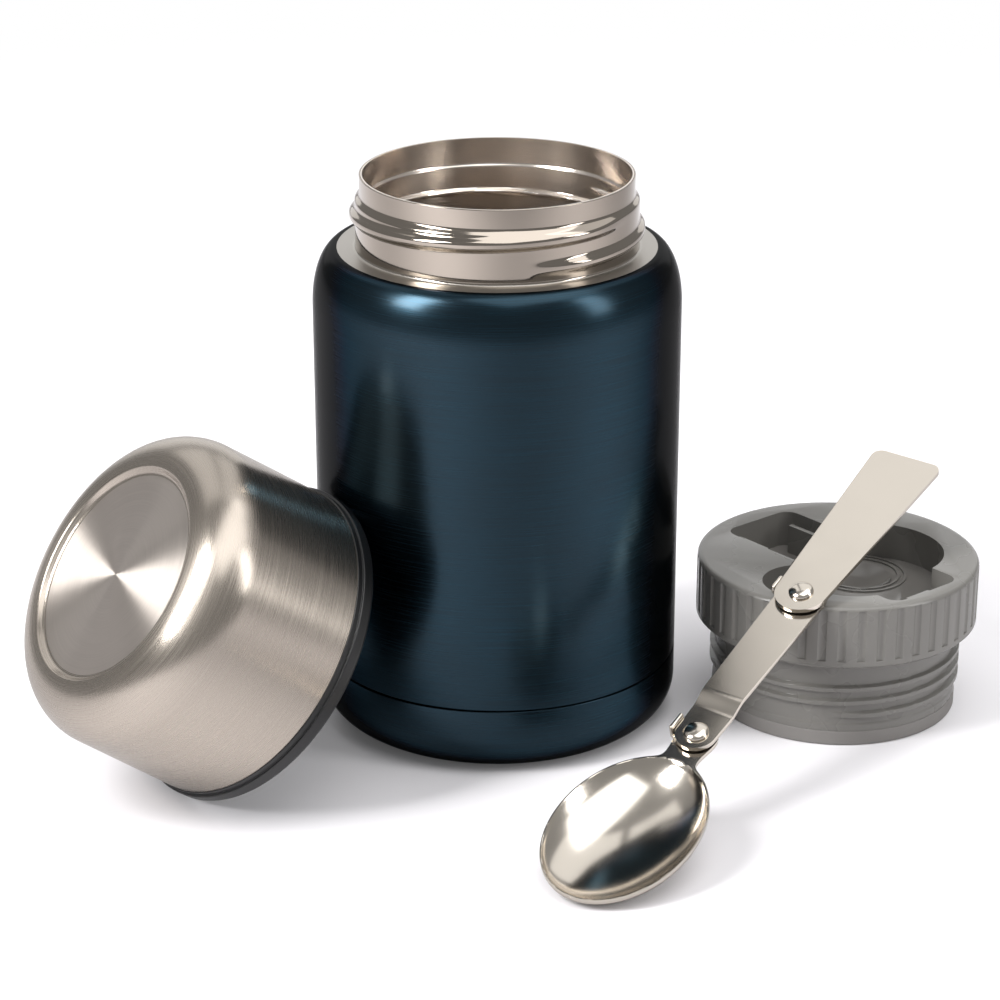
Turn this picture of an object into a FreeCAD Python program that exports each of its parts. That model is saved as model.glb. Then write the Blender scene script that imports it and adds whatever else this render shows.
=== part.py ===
import FreeCAD, Part
import math
import os

# Insulated food jar: open vacuum jar, cup lid lying against it, screw stopper on the floor
# beside it, and a folding spoon that leans on the stopper. Millimetres, +Z up, the origin at
# the centre of the jar's underside. The front of the object faces -Y.

Vector = FreeCAD.Vector
Z_AXIS = Vector(0, 0, 1)

# Jar, driving sizes
body_radius = 50.0
jar_height = 155.0
shell_sheet = 0.6
shoulder_top = 135.0
shoulder_rise = 15.4
shoulder_run = 6.4
neck_root_radius = 38.2
neck_step_height = 148.3
neck_step_rise = 1.3
lip_outer_radius = 36.95
lip_wall = 0.4
base_cover_height = 19.5
base_cover_sheet = 0.5
base_corner_radius = 11.0
base_seam_gap = 0.5
base_fit_gap = 0.1
skirt_bottom = 12.0
skirt_joggle = 0.3
groove_outer_radius = 35.0
groove_inner_radius = 22.0
groove_slope = 1.5
groove_depth = 1.2

# Outside thread of the neck
neck_thread_pitch = 7.5
neck_thread_height = 1.55
neck_thread_base = 5.2
neck_thread_crest = 2.4
neck_thread_start = 138.9
neck_thread_start_angle = -80.0
neck_thread_turns = 1.15

# Cuts run past their solid by this much
cut_margin = 1.0

# Points along a drawn quarter ellipse
ellipse_steps = 8

# Thread ridges
ridge_sink = 0.25
ridge_step = 12.0
ridge_fade = 30.0
ridge_least_rise = 0.04
ridge_end_width = 0.5
ridge_crest_share = 0.6

# Food vessel
liner_sheet = 0.4
lip_weld_gap = 0.05
lip_step_drop = 0.6
liner_neck_radius = 35.6
liner_body_radius = 44.5
liner_seat_top = 131.5
liner_seat_bottom = 129.3
liner_seat_radius = 33.0
liner_throat_bottom = 126.5
liner_shoulder_bottom = 118.0
liner_floor = 16.0
liner_corner_radius = 14.0

# Thread shared by the food vessel and the stopper
plug_thread_pitch = 4.0
liner_thread_height = 1.1
liner_thread_base = 2.0
liner_thread_crest = 0.9
liner_thread_top = 143.4
liner_thread_top_angle = 47.0
liner_thread_turns = 1.8

# Vacuum space
vacuum_bottom_sheet = 0.8
vacuum_bottom_lift = 3.2
vacuum_flange_height = 4.5
vacuum_slope_run = 8.0
vacuum_edge_run = 1.2
vacuum_edge_drop = 0.4
dimple_radius = 4.0
dimple_depth = 1.2
dimple_slope = 2.0
seal_radius = 3.0
seal_foot_radius = 2.1
seal_rise = 0.8
foil_thickness = 0.2
foil_gap = 0.15
foil_top_margin = 6.0
foil_bottom_margin = 4.0
getter_clearance = 3.0
getter_width = 7.0
getter_height = 2.0

# Cup lid, measured along its own axis from the mouth
cup_mouth_radius = 43.7
cup_side_radius = 42.9
cup_side_end = 38.2
cup_top_radius = 30.6
cup_height = 51.6
cup_disc_radius = 28.5
cup_disc_drop = 1.5
cup_disc_slope = 1.2
cup_sheet = 0.6
cup_rim_radius = 44.6
cup_rim_depth = 5.5
cup_rim_step = 1.6
cup_rim_step_radius = 44.0
cup_rim_edge = 0.8
cup_liner_wall = 1.6
cup_liner_gap = 0.25
cup_liner_draft = 0.6
cup_liner_shoulder = 9.0
cup_liner_shoulder_shift = 0.6
cup_mouth_clearance = 0.4
cup_liner_top_gap = 6.0
cup_thread_start = 3.2
cup_thread_turns = 1.1
cup_thread_base = 4.0
cup_thread_crest = 1.8
cup_thread_clearance = 0.35

# Cup lid, where it lies
cup_azimuth = 212.4
cup_elevation = 36.3
cup_jar_gap = 0.3

# Stopper
plug_thread_radius = 35.3
plug_root_radius = 34.1
plug_wall = 2.4
plug_flange_radius = 34.35
plug_flange_top = 6.2
plug_top = 25.4
plug_shelf = 2.2
plug_thread_start = 9.1
plug_thread_start_angle = -100.0
plug_thread_turns = 2.3
plug_thread_base = 2.2
plug_thread_crest = 1.3
plug_base_radius = 33.3
plug_base_flange = 0.8
plug_base_thickness = 2.0
plug_base_gap = 0.15
gasket_radius = 34.5
gasket_bore = 32.7
gasket_height = 4.3
gasket_foot = 0.1
insulation_gap = 0.4
cap_radius = 39.5
cap_height = 18.1
cap_top_rounding = 1.5
cap_bottom_chamfer = 0.8
cap_floor_above_plug = 7.6
cap_flute_count = 46
cap_flute_radius = 1.6
cap_flute_depth = 0.55
cap_flute_plain_band = 2.2
cap_flute_top_gap = 0.9
stopper_x = 96.0
stopper_y = 4.0

# Spoon recess in the stopper's cap, seen from above with its centre at the cap's centre
recess_angle = -50.4
recess_length = 67.0
recess_width = 25.4
recess_corner = 4.0
recess_shift_x = 0.4
recess_shift_y = -1.5
recess_overlap = 0.3
# Round parts of the recess: centre across, centre back, radius
finger_notch = (-11.5, -20.5, 11.5)
front_bay = (2.0, -14.0, 17.0)
bowl_pocket = (10.0, 2.0, 20.0)
bowl_dish = (7.5, 9.0, 10.0)
bowl_dish_depth = 3.4
catch_width = 1.5
catch_thickness = 1.4
catch_drop = 0.6
side_catch_length = 11.3
side_catch_place = -22.8
end_catch_length = 8.6
end_catch_place = -2.8
rib_length = 10.5
rib_place = -23.0
rib_offset = 8.6
rib_thickness = 1.5
rib_drop = 2.0
floor_ridge_gaps = (0.6, 2.6)
floor_ridge_width = 0.8
floor_ridge_height = 0.5

# Folding spoon, measured along its length from the bowl rivet
plate = 1.2
washer_gap = 0.55
washer_play = 0.05
washer_radius = 4.4
rivet_spacing = 56.3
link_narrow_radius = 5.6
link_wide_radius = 6.9
joggle_start = 8.8
joggle_end = 13.6
joggle_rise = 1.6
joggle_shift = 0.3
handle_length = 62.5
handle_end_width = 21.1
handle_round_radius = 7.3
handle_corner_radius = 3.0
bowl_centre = 35.6
bowl_length = 52.6
bowl_width = 39.0
bowl_depth = 8.7
neck_radius = 5.6
neck_waist = 9.6
neck_waist_place = 7.5
neck_root_width = 17.0
neck_root_reach = 4.0
rivet_radius = 2.0
rivet_running_gap = 0.06
rivet_head_radius = 3.4
rivet_head_height = 1.6
rivet_tail_radius = 2.5
rivet_tail_height = 0.5
tab_thickness = 1.2
tab_gap = 0.15
tab_start = -2.2
tab_end = 4.0
tab_rise = 2.9
tab_top_drop = 0.3
tab_root_depth = 2.4
tab_bend_radius = 0.96
link_tab_start = -1.4

# Spoon, where it leans
spoon_x = 51.85
spoon_y = -73.12
spoon_yaw = 54.4
spoon_pitch = 19.1
spoon_roll = 3.6


def point(radius, height):
    return Vector(radius, 0, height)


def line(a, b):
    return Part.LineSegment(a, b).toShape()


def polyline_edges(points):
    return [line(a, b) for a, b in zip(points, points[1:])]


def arc_edge(centre, radius, start_angle, end_angle):
    """Arc in the X-Z plane, angles in degrees from +X towards +Z."""
    angles = (start_angle, (start_angle + end_angle) / 2, end_angle)
    ends = []
    for angle in angles:
        a = math.radians(angle)
        ends.append(Vector(centre.x + radius * math.cos(a), 0, centre.z + radius * math.sin(a)))
    return Part.Arc(*ends).toShape()


def quarter_ellipse(centre, run, rise):
    """Quarter of an ellipse in the X-Z plane, from its outermost point up to its top."""
    ellipse_points = []
    for step in range(ellipse_steps + 1):
        a = math.pi / 2 * step / ellipse_steps
        ellipse_points.append(Vector(centre.x + run * math.cos(a), 0, centre.z + rise * math.sin(a)))
    curve = Part.BSplineCurve()
    curve.interpolate(ellipse_points, False, 1e-6, Vector(0, 0, 1), Vector(-1, 0, 0))
    return curve.toShape()


def revolve(edges):
    """Closed outline in the X-Z plane turned round the Z axis."""
    face = Part.Face(Part.Wire(Part.__sortEdges__(edges)))
    solid = face.revolve(Vector(0, 0, 0), Z_AXIS, 360)
    return tidy_solid(solid)


def revolve_points(points):
    return revolve(polyline_edges(list(points) + [points[0]]))


def tidy_solid(shape):
    solids = shape.Solids
    result = solids[0] if len(solids) == 1 else shape
    if result.Volume < 0:
        result.reverse()
    return result


def tube(outer, inner, bottom, top):
    return revolve_points([point(inner, bottom), point(outer, bottom), point(outer, top), point(inner, top)])


def ridge_section(wall_radius, height, base, crest, side, angle, lift):
    """Trapezoid outline of a thread ridge at one angle, sunk a little into its wall."""
    outline = [
        Vector(wall_radius - side * ridge_sink, 0, lift - base / 2),
        Vector(wall_radius + side * height, 0, lift - crest / 2),
        Vector(wall_radius + side * height, 0, lift + crest / 2),
        Vector(wall_radius - side * ridge_sink, 0, lift + base / 2),
    ]
    section = Part.Wire(polyline_edges(outline + [outline[0]]))
    section.rotate(Vector(0, 0, 0), Z_AXIS, angle)
    return section


def helical_ridge(wall_radius, height, base, crest, pitch, turns, start_height, start_angle, inward):
    """Right-handed thread ridge that rises out of its wall and fades back into it."""
    side = -1 if inward else 1
    sections = []
    count = math.ceil(360 * turns / ridge_step)
    for index in range(count + 1):
        turned = 360 * turns * index / count
        fade = min(1.0, turned / ridge_fade, (360 * turns - turned) / ridge_fade)
        rise = height * max(ridge_least_rise, math.sin(math.pi / 2 * fade))
        width = base * (ridge_end_width + (1 - ridge_end_width) * math.sin(math.pi / 2 * fade))
        top = min(crest, width * ridge_crest_share)
        lift = start_height + pitch * turned / 360
        sections.append(ridge_section(wall_radius, rise, width, top, side, start_angle + turned, lift))
    return tidy_solid(Part.makeLoft(sections, True, False))


def joined(solids):
    result = solids[0].fuse(solids[1:]) if len(solids) > 1 else solids[0]
    return tidy_solid(result.removeSplitter())


# Jar

def shell_edges(offset, bottom_radius):
    """Outline of the outer shell's sheet, moved inwards by offset, from its skirt to its lip."""
    r = body_radius - offset
    wall_bottom = base_cover_height + base_seam_gap + offset
    ellipse_centre = point(body_radius - shoulder_run, shoulder_top - shoulder_rise)
    run = shoulder_run - offset
    rise = shoulder_rise - offset
    neck = neck_root_radius - offset
    lip = lip_outer_radius - min(offset, lip_wall)
    top_flat = shoulder_top - offset
    wall_top = point(r, ellipse_centre.z)
    edges = polyline_edges([
        point(bottom_radius, skirt_bottom),
        point(bottom_radius, wall_bottom - skirt_joggle),
        point(r, wall_bottom),
        wall_top,
    ])
    edges.append(quarter_ellipse(ellipse_centre, run, rise))
    edges += polyline_edges([
        point(ellipse_centre.x, top_flat),
        point(neck, top_flat),
        point(neck, neck_step_height - offset),
        point(lip, neck_step_height + neck_step_rise - offset),
        point(lip, jar_height),
    ])
    return edges


def outer_shell():
    skirt_outer = body_radius - base_cover_sheet - base_fit_gap
    outside = shell_edges(0.0, skirt_outer)
    inside = shell_edges(shell_sheet, skirt_outer - shell_sheet)
    closing = [
        line(point(skirt_outer, skirt_bottom), point(skirt_outer - shell_sheet, skirt_bottom)),
        line(point(lip_outer_radius, jar_height), point(lip_outer_radius - lip_wall, jar_height)),
    ]
    shell = revolve(outside + inside + closing)
    thread = helical_ridge(neck_root_radius, neck_thread_height, neck_thread_base, neck_thread_crest,
                           neck_thread_pitch, neck_thread_turns, neck_thread_start,
                           neck_thread_start_angle, False)
    return joined([shell, thread])


def liner_lip_radius():
    return lip_outer_radius - lip_wall - lip_weld_gap - liner_sheet


def liner_edges(offset):
    """Inner face of the food vessel, moved outwards by offset, from its lip to its floor."""
    lip = liner_lip_radius() + offset
    body = liner_body_radius + offset
    corner = liner_corner_radius + offset
    corner_centre = point(liner_body_radius - liner_corner_radius, liner_floor + liner_corner_radius)
    step = neck_step_height - shell_sheet
    edges = polyline_edges([
        point(lip, jar_height),
        point(lip, step),
        point(liner_neck_radius + offset, step - lip_step_drop),
        point(liner_neck_radius + offset, liner_seat_top - offset),
        point(liner_seat_radius + offset, liner_seat_bottom - offset),
        point(liner_seat_radius + offset, liner_throat_bottom),
        point(body, liner_shoulder_bottom),
        point(body, corner_centre.z),
    ])
    edges.append(arc_edge(corner_centre, corner, 0, -90))
    edges.append(line(point(corner_centre.x, liner_floor - offset), point(0, liner_floor - offset)))
    return edges


def inner_liner():
    closing = [
        line(point(liner_lip_radius(), jar_height), point(liner_lip_radius() + liner_sheet, jar_height)),
        line(point(0, liner_floor), point(0, liner_floor - liner_sheet)),
    ]
    vessel = revolve(liner_edges(0.0) + liner_edges(liner_sheet) + closing)
    rise = plug_thread_pitch * liner_thread_turns
    start_angle = liner_thread_top_angle - 360 * liner_thread_turns
    thread = helical_ridge(liner_neck_radius, liner_thread_height, liner_thread_base, liner_thread_crest,
                           plug_thread_pitch, liner_thread_turns, liner_thread_top - rise,
                           start_angle, True)
    return joined([vessel, thread])


def vacuum_bottom_outline():
    outer = body_radius - base_cover_sheet - base_fit_gap - shell_sheet
    return outer, skirt_bottom - vacuum_bottom_lift


def vacuum_bottom():
    outer, low = vacuum_bottom_outline()
    inner = outer - vacuum_bottom_sheet
    flange_top = skirt_bottom + vacuum_flange_height
    sheet = vacuum_bottom_sheet
    dimple_edge = dimple_radius + dimple_slope
    return revolve_points([
        point(outer, skirt_bottom),
        point(outer, flange_top),
        point(inner, flange_top),
        point(inner, skirt_bottom + sheet),
        point(inner - vacuum_slope_run, low + sheet),
        point(dimple_edge, low + sheet),
        point(dimple_radius, low + sheet + dimple_depth),
        point(0, low + sheet + dimple_depth),
        point(0, low + dimple_depth),
        point(dimple_radius, low + dimple_depth),
        point(dimple_edge, low),
        point(inner - vacuum_slope_run, low),
        point(outer - vacuum_edge_run, skirt_bottom - vacuum_edge_drop),
    ])


def evacuation_seal():
    _, low = vacuum_bottom_outline()
    top = low + dimple_depth
    foot = top - seal_rise
    return revolve_points([point(0, top), point(seal_radius, top), point(seal_foot_radius, foot), point(0, foot)])


def getter():
    _, low = vacuum_bottom_outline()
    top = low + vacuum_bottom_sheet + getter_height
    ring_inner = dimple_radius + getter_clearance
    return tube(ring_inner + getter_width, ring_inner, top - getter_height, top)


def reflector_foil():
    radius = liner_body_radius + liner_sheet + foil_gap
    top = liner_shoulder_bottom - foil_top_margin
    bottom = liner_floor + liner_corner_radius + foil_bottom_margin
    return tube(radius + foil_thickness, radius, bottom, top)


def base_cover_edges(offset):
    """Cover's outside, moved inwards by offset: wall, corner, foot ring, groove and flat centre."""
    corner = base_corner_radius - offset
    corner_centre = point(body_radius - base_corner_radius, base_corner_radius)
    edges = [line(point(body_radius - offset, base_cover_height), point(body_radius - offset, base_corner_radius))]
    edges.append(arc_edge(corner_centre, corner, 0, -90))
    edges += polyline_edges([
        point(corner_centre.x, offset),
        point(groove_outer_radius, offset),
        point(groove_outer_radius - groove_slope, groove_depth + offset),
        point(groove_inner_radius + groove_slope, groove_depth + offset),
        point(groove_inner_radius, offset),
        point(0, offset),
    ])
    return edges


def base_cover():
    closing = [
        line(point(body_radius, base_cover_height), point(body_radius - base_cover_sheet, base_cover_height)),
        line(point(0, 0), point(0, base_cover_sheet)),
    ]
    return revolve(base_cover_edges(0.0) + base_cover_edges(base_cover_sheet) + closing)


# Cup lid, mouth at height 0 and closed end upwards, before it is laid down

def cup_shell_edges(offset):
    mouth = cup_mouth_radius - offset
    side = cup_side_radius - offset
    side_end = cup_side_end
    top_radius = cup_top_radius
    edges = [line(point(mouth, cup_rim_depth), point(side, side_end))]
    edges.append(quarter_ellipse(point(top_radius, side_end), side - top_radius, cup_height - offset - side_end))
    edges += polyline_edges([
        point(top_radius, cup_height - offset),
        point(cup_disc_radius + cup_disc_slope, cup_height - offset),
        point(cup_disc_radius, cup_height - cup_disc_drop - offset),
        point(0, cup_height - cup_disc_drop - offset),
    ])
    return edges


def cup_shell():
    closing = [
        line(point(cup_mouth_radius, cup_rim_depth), point(cup_mouth_radius - cup_sheet, cup_rim_depth)),
        line(point(0, cup_height - cup_disc_drop), point(0, cup_height - cup_disc_drop - cup_sheet)),
    ]
    return revolve(cup_shell_edges(0.0) + cup_shell_edges(cup_sheet) + closing)


def cup_liner():
    """Plastic lining of the cup: rim ring, threaded skirt and plain inner cup in one moulding."""
    bore = neck_root_radius + neck_thread_height + cup_mouth_clearance
    skirt_outer = cup_side_radius - cup_sheet - cup_liner_gap - cup_liner_draft
    inner = bore
    floor_top = cup_height - cup_liner_top_gap
    floor_bottom = floor_top - cup_liner_wall
    shoulder = cup_liner_shoulder
    inner_shoulder = shoulder + cup_liner_shoulder_shift
    body = revolve_points([
        point(inner, 0),
        point(cup_rim_radius - cup_rim_edge, 0),
        point(cup_rim_radius, cup_rim_edge),
        point(cup_rim_radius, cup_rim_depth - cup_rim_step),
        point(cup_rim_step_radius, cup_rim_depth - cup_rim_step),
        point(cup_rim_step_radius, cup_rim_depth),
        point(skirt_outer, cup_rim_depth),
        point(skirt_outer, floor_top - shoulder),
        point(skirt_outer - shoulder, floor_top),
        point(0, floor_top),
        point(0, floor_bottom),
        point(skirt_outer - inner_shoulder, floor_bottom),
        point(inner, floor_top - inner_shoulder),
    ])
    crest = neck_root_radius + cup_thread_clearance
    thread = helical_ridge(inner, inner - crest, cup_thread_base, cup_thread_crest, neck_thread_pitch,
                           cup_thread_turns, cup_thread_start, 0, True)
    return joined([body, thread])


def lay_cup(shape):
    """Tip the cup onto its rim so that it touches the floor and leans against the jar."""
    rim = cup_rim_radius
    edge_cut = cup_rim_edge
    elevation = math.radians(cup_elevation)
    plain_edge = (rim - edge_cut) * math.cos(elevation)
    upper_edge = rim * math.cos(elevation) - edge_cut * math.sin(elevation)
    height = max(plain_edge, upper_edge)
    reach = rim - edge_cut
    away = body_radius + cup_jar_gap + reach * math.sin(elevation)
    away_upper = body_radius + cup_jar_gap + rim * math.sin(elevation) - edge_cut * math.cos(elevation)
    distance = max(away, away_upper)
    azimuth = math.radians(cup_azimuth)
    turned = shape.copy()
    turned.rotate(Vector(0, 0, 0), Vector(0, 1, 0), 90 - cup_elevation)
    turned.rotate(Vector(0, 0, 0), Z_AXIS, cup_azimuth)
    turned.translate(Vector(distance * math.cos(azimuth), distance * math.sin(azimuth), height))
    return turned


# Stopper, standing on the floor, its axis on Z before it is moved to its place

def disc(radius, bottom, top):
    return Part.makeCylinder(radius, top - bottom, Vector(0, 0, bottom))


def stopper_plug():
    """Hollow plug: thread above a retaining flange, and a narrower end that carries the gasket."""
    bore = plug_root_radius - plug_wall
    return joined([
        revolve_points([
            point(bore, plug_base_flange),
            point(gasket_bore, plug_base_flange),
            point(gasket_bore, gasket_height),
            point(plug_flange_radius, gasket_height),
            point(plug_flange_radius, plug_flange_top),
            point(plug_root_radius, plug_flange_top + plug_flange_radius - plug_root_radius),
            point(plug_root_radius, plug_top),
            point(0, plug_top),
            point(0, plug_top - plug_shelf),
            point(bore, plug_top - plug_shelf),
        ]),
        helical_ridge(plug_root_radius, plug_thread_radius - plug_root_radius, plug_thread_base,
                      plug_thread_crest, plug_thread_pitch, plug_thread_turns,
                      plug_thread_start, plug_thread_start_angle, False),
    ])


def stopper_base():
    """Disc that closes the plug; its flange holds the gasket up."""
    spigot = plug_root_radius - plug_wall - plug_base_gap
    spigot_top = plug_base_flange + plug_base_thickness
    return revolve_points([
        point(0, 0), point(plug_base_radius, 0), point(plug_base_radius, plug_base_flange),
        point(spigot, plug_base_flange), point(spigot, spigot_top), point(0, spigot_top),
    ])


def stopper_insulation():
    bore = plug_root_radius - plug_wall
    return disc(bore - insulation_gap, plug_base_flange + plug_base_thickness, plug_top - plug_shelf)


def stopper_gasket():
    """Ring with a rounded lower edge, stretched round the plug's end above the base's flange."""
    rounding = gasket_radius - plug_base_radius
    centre = point(plug_base_radius, gasket_foot + rounding)
    edges = polyline_edges([
        point(gasket_radius, centre.z), point(gasket_radius, gasket_height),
        point(gasket_bore, gasket_height), point(gasket_bore, plug_base_flange),
        point(plug_base_radius, plug_base_flange), point(plug_base_radius, gasket_foot),
    ])
    edges.append(arc_edge(centre, rounding, -90, 0))
    return revolve(edges)


def recess_prism(length, width, corner, bottom, top):
    """Upright block with rounded corners that lies along the recess."""
    block = Part.makeBox(length, width, top - bottom, Vector(-length / 2, -width / 2, bottom))
    upright = [e for e in block.Edges if abs(e.tangentAt(e.FirstParameter).z) > 0.9]
    block = block.makeFillet(corner, upright)
    block.rotate(Vector(0, 0, 0), Z_AXIS, recess_angle)
    block.translate(Vector(recess_shift_x, recess_shift_y, 0))
    return block


def along_recess(x, y):
    """Point given along and across the recess, in the cap's plan."""
    a = math.radians(recess_angle)
    return Vector(recess_shift_x + x * math.cos(a) - y * math.sin(a),
                  recess_shift_y + x * math.sin(a) + y * math.cos(a), 0)


def recess_block(x, y, length, width, bottom, top):
    block = Part.makeBox(length, width, top - bottom, Vector(-length / 2, -width / 2, bottom))
    block.rotate(Vector(0, 0, 0), Z_AXIS, recess_angle)
    block.translate(along_recess(x, y))
    return block


def spoon_recess(floor, top):
    """Hollow of the cap: a slot for the folded spoon, a finger notch and the bowl's pocket."""
    height = top + cut_margin - floor
    channel = recess_prism(recess_length, recess_width, recess_corner, floor, floor + height)
    rounds = []
    for x, y, radius in (finger_notch, front_bay, bowl_pocket):
        rounds.append(Part.makeCylinder(radius, height, Vector(x, y, floor)))
    x, y, radius = bowl_dish
    ball_radius = (radius ** 2 + bowl_dish_depth ** 2) / (2 * bowl_dish_depth)
    ball = Part.makeSphere(ball_radius, Vector(x, y, floor - bowl_dish_depth + ball_radius))
    dish = ball.common(Part.makeCylinder(radius, height, Vector(x, y, floor - bowl_dish_depth)))
    return channel.fuse(rounds + [dish])


def cap_flutes(bottom, top):
    reach = cap_radius + cap_flute_radius - cap_flute_depth
    flutes = []
    for index in range(cap_flute_count):
        a = 2 * math.pi * index / cap_flute_count
        centre = Vector(reach * math.cos(a), reach * math.sin(a), bottom)
        flutes.append(Part.makeCylinder(cap_flute_radius, top - bottom, centre))
    return Part.makeCompound(flutes)


def stopper_cap():
    bottom = plug_top
    top = bottom + cap_height
    floor = bottom + cap_floor_above_plug
    edges = polyline_edges([
        point(0, top), point(0, bottom), point(cap_radius - cap_bottom_chamfer, bottom),
        point(cap_radius, bottom + cap_bottom_chamfer), point(cap_radius, top - cap_top_rounding),
    ])
    edges.append(arc_edge(point(cap_radius - cap_top_rounding, top - cap_top_rounding), cap_top_rounding, 0, 90))
    edges.append(line(point(cap_radius - cap_top_rounding, top), point(0, top)))
    cap = revolve(edges).cut(spoon_recess(floor, top))
    cap = cap.cut(cap_flutes(bottom + cap_flute_plain_band, top - cap_flute_top_gap))
    half = recess_width / 2
    catch_bottom = top - catch_drop - catch_thickness
    root = recess_overlap
    extras = [
        recess_block(side_catch_place, -half + (catch_width - root) / 2, side_catch_length,
                     catch_width + root, catch_bottom, catch_bottom + catch_thickness),
        recess_block(recess_length / 2 - (catch_width - root) / 2, end_catch_place, catch_width + root,
                     end_catch_length, catch_bottom, catch_bottom + catch_thickness),
        recess_block(rib_place, rib_offset, rib_length, rib_thickness, floor - root, top - rib_drop),
    ]
    x, y, radius = bowl_dish
    for gap in floor_ridge_gaps:
        ring = tube(radius + gap + floor_ridge_width, radius + gap, floor - root, floor + floor_ridge_height)
        ring.translate(Vector(x, y, 0))
        extras.append(ring.common(spoon_recess(floor - 2 * root, top)))
    return joined([tidy_solid(cap)] + extras)


def place_stopper(shape):
    placed = shape.copy()
    placed.translate(Vector(stopper_x, stopper_y, 0))
    return placed


# Folding spoon, along +X from the bowl rivet, the neck's upper face at height 0

link_end_bottom = washer_gap
link_end_top = link_end_bottom + plate
link_bottom = link_end_bottom + joggle_rise
link_top = link_bottom + plate
handle_bottom = link_top + washer_gap
handle_top = handle_bottom + plate


def tangent_bar_wire(radius_a, radius_b, length, height):
    """Outline of a bar with a round end of each radius, joined by its two tangents."""
    lean = math.asin((radius_a - radius_b) / length)
    c = math.cos(lean)
    s = math.sin(lean)
    a_top = Vector(radius_a * s, radius_a * c, height)
    b_top = Vector(length + radius_b * s, radius_b * c, height)
    b_low = Vector(b_top.x, -b_top.y, height)
    a_low = Vector(a_top.x, -a_top.y, height)
    return Part.Wire([
        line(a_top, b_top),
        Part.Arc(b_top, Vector(length + radius_b, 0, height), b_low).toShape(),
        line(b_low, a_low),
        Part.Arc(a_low, Vector(-radius_a, 0, height), a_top).toShape(),
    ])


def rivet_hole(x, radius, bottom, top):
    return Part.makeCylinder(radius, top - bottom + 2 * cut_margin, Vector(x, 0, bottom - cut_margin))


def set_hole(x, bottom, top):
    """Hole of the plate that carries a rivet, countersunk below for the rivet's flush tail."""
    cone = Part.makeCone(rivet_tail_radius, rivet_radius, rivet_tail_height, Vector(x, 0, bottom))
    return rivet_hole(x, rivet_radius, bottom, top).fuse(cone)


def tab_block(x_start, x_end, inner_y, root_y, bottom, top):
    """Stop tab bent up from a plate's left edge."""
    foot = Part.makeBox(x_end - x_start, inner_y + tab_thickness - root_y, plate,
                        Vector(x_start, root_y, bottom))
    upright = Part.makeBox(x_end - x_start, tab_thickness, top - bottom, Vector(x_start, inner_y, bottom))
    block = foot.fuse(upright).removeSplitter()
    corner = [e for e in block.Edges
              if abs(e.tangentAt(e.FirstParameter).x) > 0.9
              and abs(e.CenterOfMass.y - inner_y - tab_thickness) < 1e-6
              and abs(e.CenterOfMass.z - bottom) < 1e-6]
    return block.makeFillet(tab_bend_radius, corner)


def spoon_link():
    outline = tangent_bar_wire(link_narrow_radius, link_wide_radius, rivet_spacing, 0)
    bar = Part.Face(outline).extrude(Vector(0, 0, link_top + cut_margin))
    reach = rivet_spacing + link_wide_radius + cut_margin
    back = -link_narrow_radius - cut_margin
    side = [
        Vector(back, 0, link_end_bottom), Vector(joggle_start, 0, link_end_bottom),
        Vector(joggle_end, 0, link_bottom), Vector(reach, 0, link_bottom), Vector(reach, 0, link_top),
        Vector(joggle_end - joggle_shift, 0, link_top), Vector(joggle_start - joggle_shift, 0, link_end_top),
        Vector(back, 0, link_end_top),
    ]
    half = link_wide_radius + cut_margin
    sheet = Part.Face(Part.Wire(polyline_edges(side + [side[0]]))).extrude(Vector(0, 2 * half, 0))
    sheet.translate(Vector(0, -half, 0))
    link = bar.common(sheet)
    link = link.cut(rivet_hole(0, rivet_radius + rivet_running_gap, link_end_bottom, link_end_top))
    link = link.cut(set_hole(rivet_spacing, link_bottom, link_top))
    tab_inner = handle_round_radius + tab_gap + tab_end * handle_flare()
    tab = tab_block(rivet_spacing + link_tab_start, rivet_spacing + tab_end, tab_inner,
                    link_wide_radius - tab_root_depth, link_bottom, handle_top - tab_top_drop)
    return joined([tidy_solid(link), tab])


def handle_flare():
    """Growth of the handle's half width per millimetre of length."""
    return (handle_end_width / 2 - handle_round_radius) / handle_length


def spoon_handle():
    end = handle_length
    half_end = handle_end_width / 2
    flare = math.atan(handle_flare())
    s = math.sin(flare)
    c = math.cos(flare)
    left_near = Vector(-handle_round_radius * s, handle_round_radius * c, 0)
    right_near = Vector(left_near.x, -left_near.y, 0)
    outline = Part.Wire([
        line(left_near, Vector(end, half_end, 0)),
        line(Vector(end, half_end, 0), Vector(end, -half_end, 0)),
        line(Vector(end, -half_end, 0), right_near),
        Part.Arc(right_near, Vector(-handle_round_radius, 0, 0), left_near).toShape(),
    ])
    handle = Part.Face(outline).extrude(Vector(0, 0, plate))
    corners = [e for e in handle.Edges
               if abs(e.tangentAt(e.FirstParameter).z) > 0.9 and e.CenterOfMass.x > end - 0.1]
    handle = handle.makeFillet(handle_corner_radius, corners)
    handle.translate(Vector(rivet_spacing, 0, handle_bottom))
    handle = handle.cut(rivet_hole(rivet_spacing, rivet_radius + rivet_running_gap, handle_bottom, handle_top))
    return tidy_solid(handle)


def ellipsoid(length, width, depth, centre_x, centre_z):
    ball = Part.makeSphere(1.0)
    matrix = FreeCAD.Matrix()
    matrix.scale(length / 2, width / 2, depth)
    ball = ball.transformGeometry(matrix)
    ball.translate(Vector(centre_x, 0, centre_z))
    return ball


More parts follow.
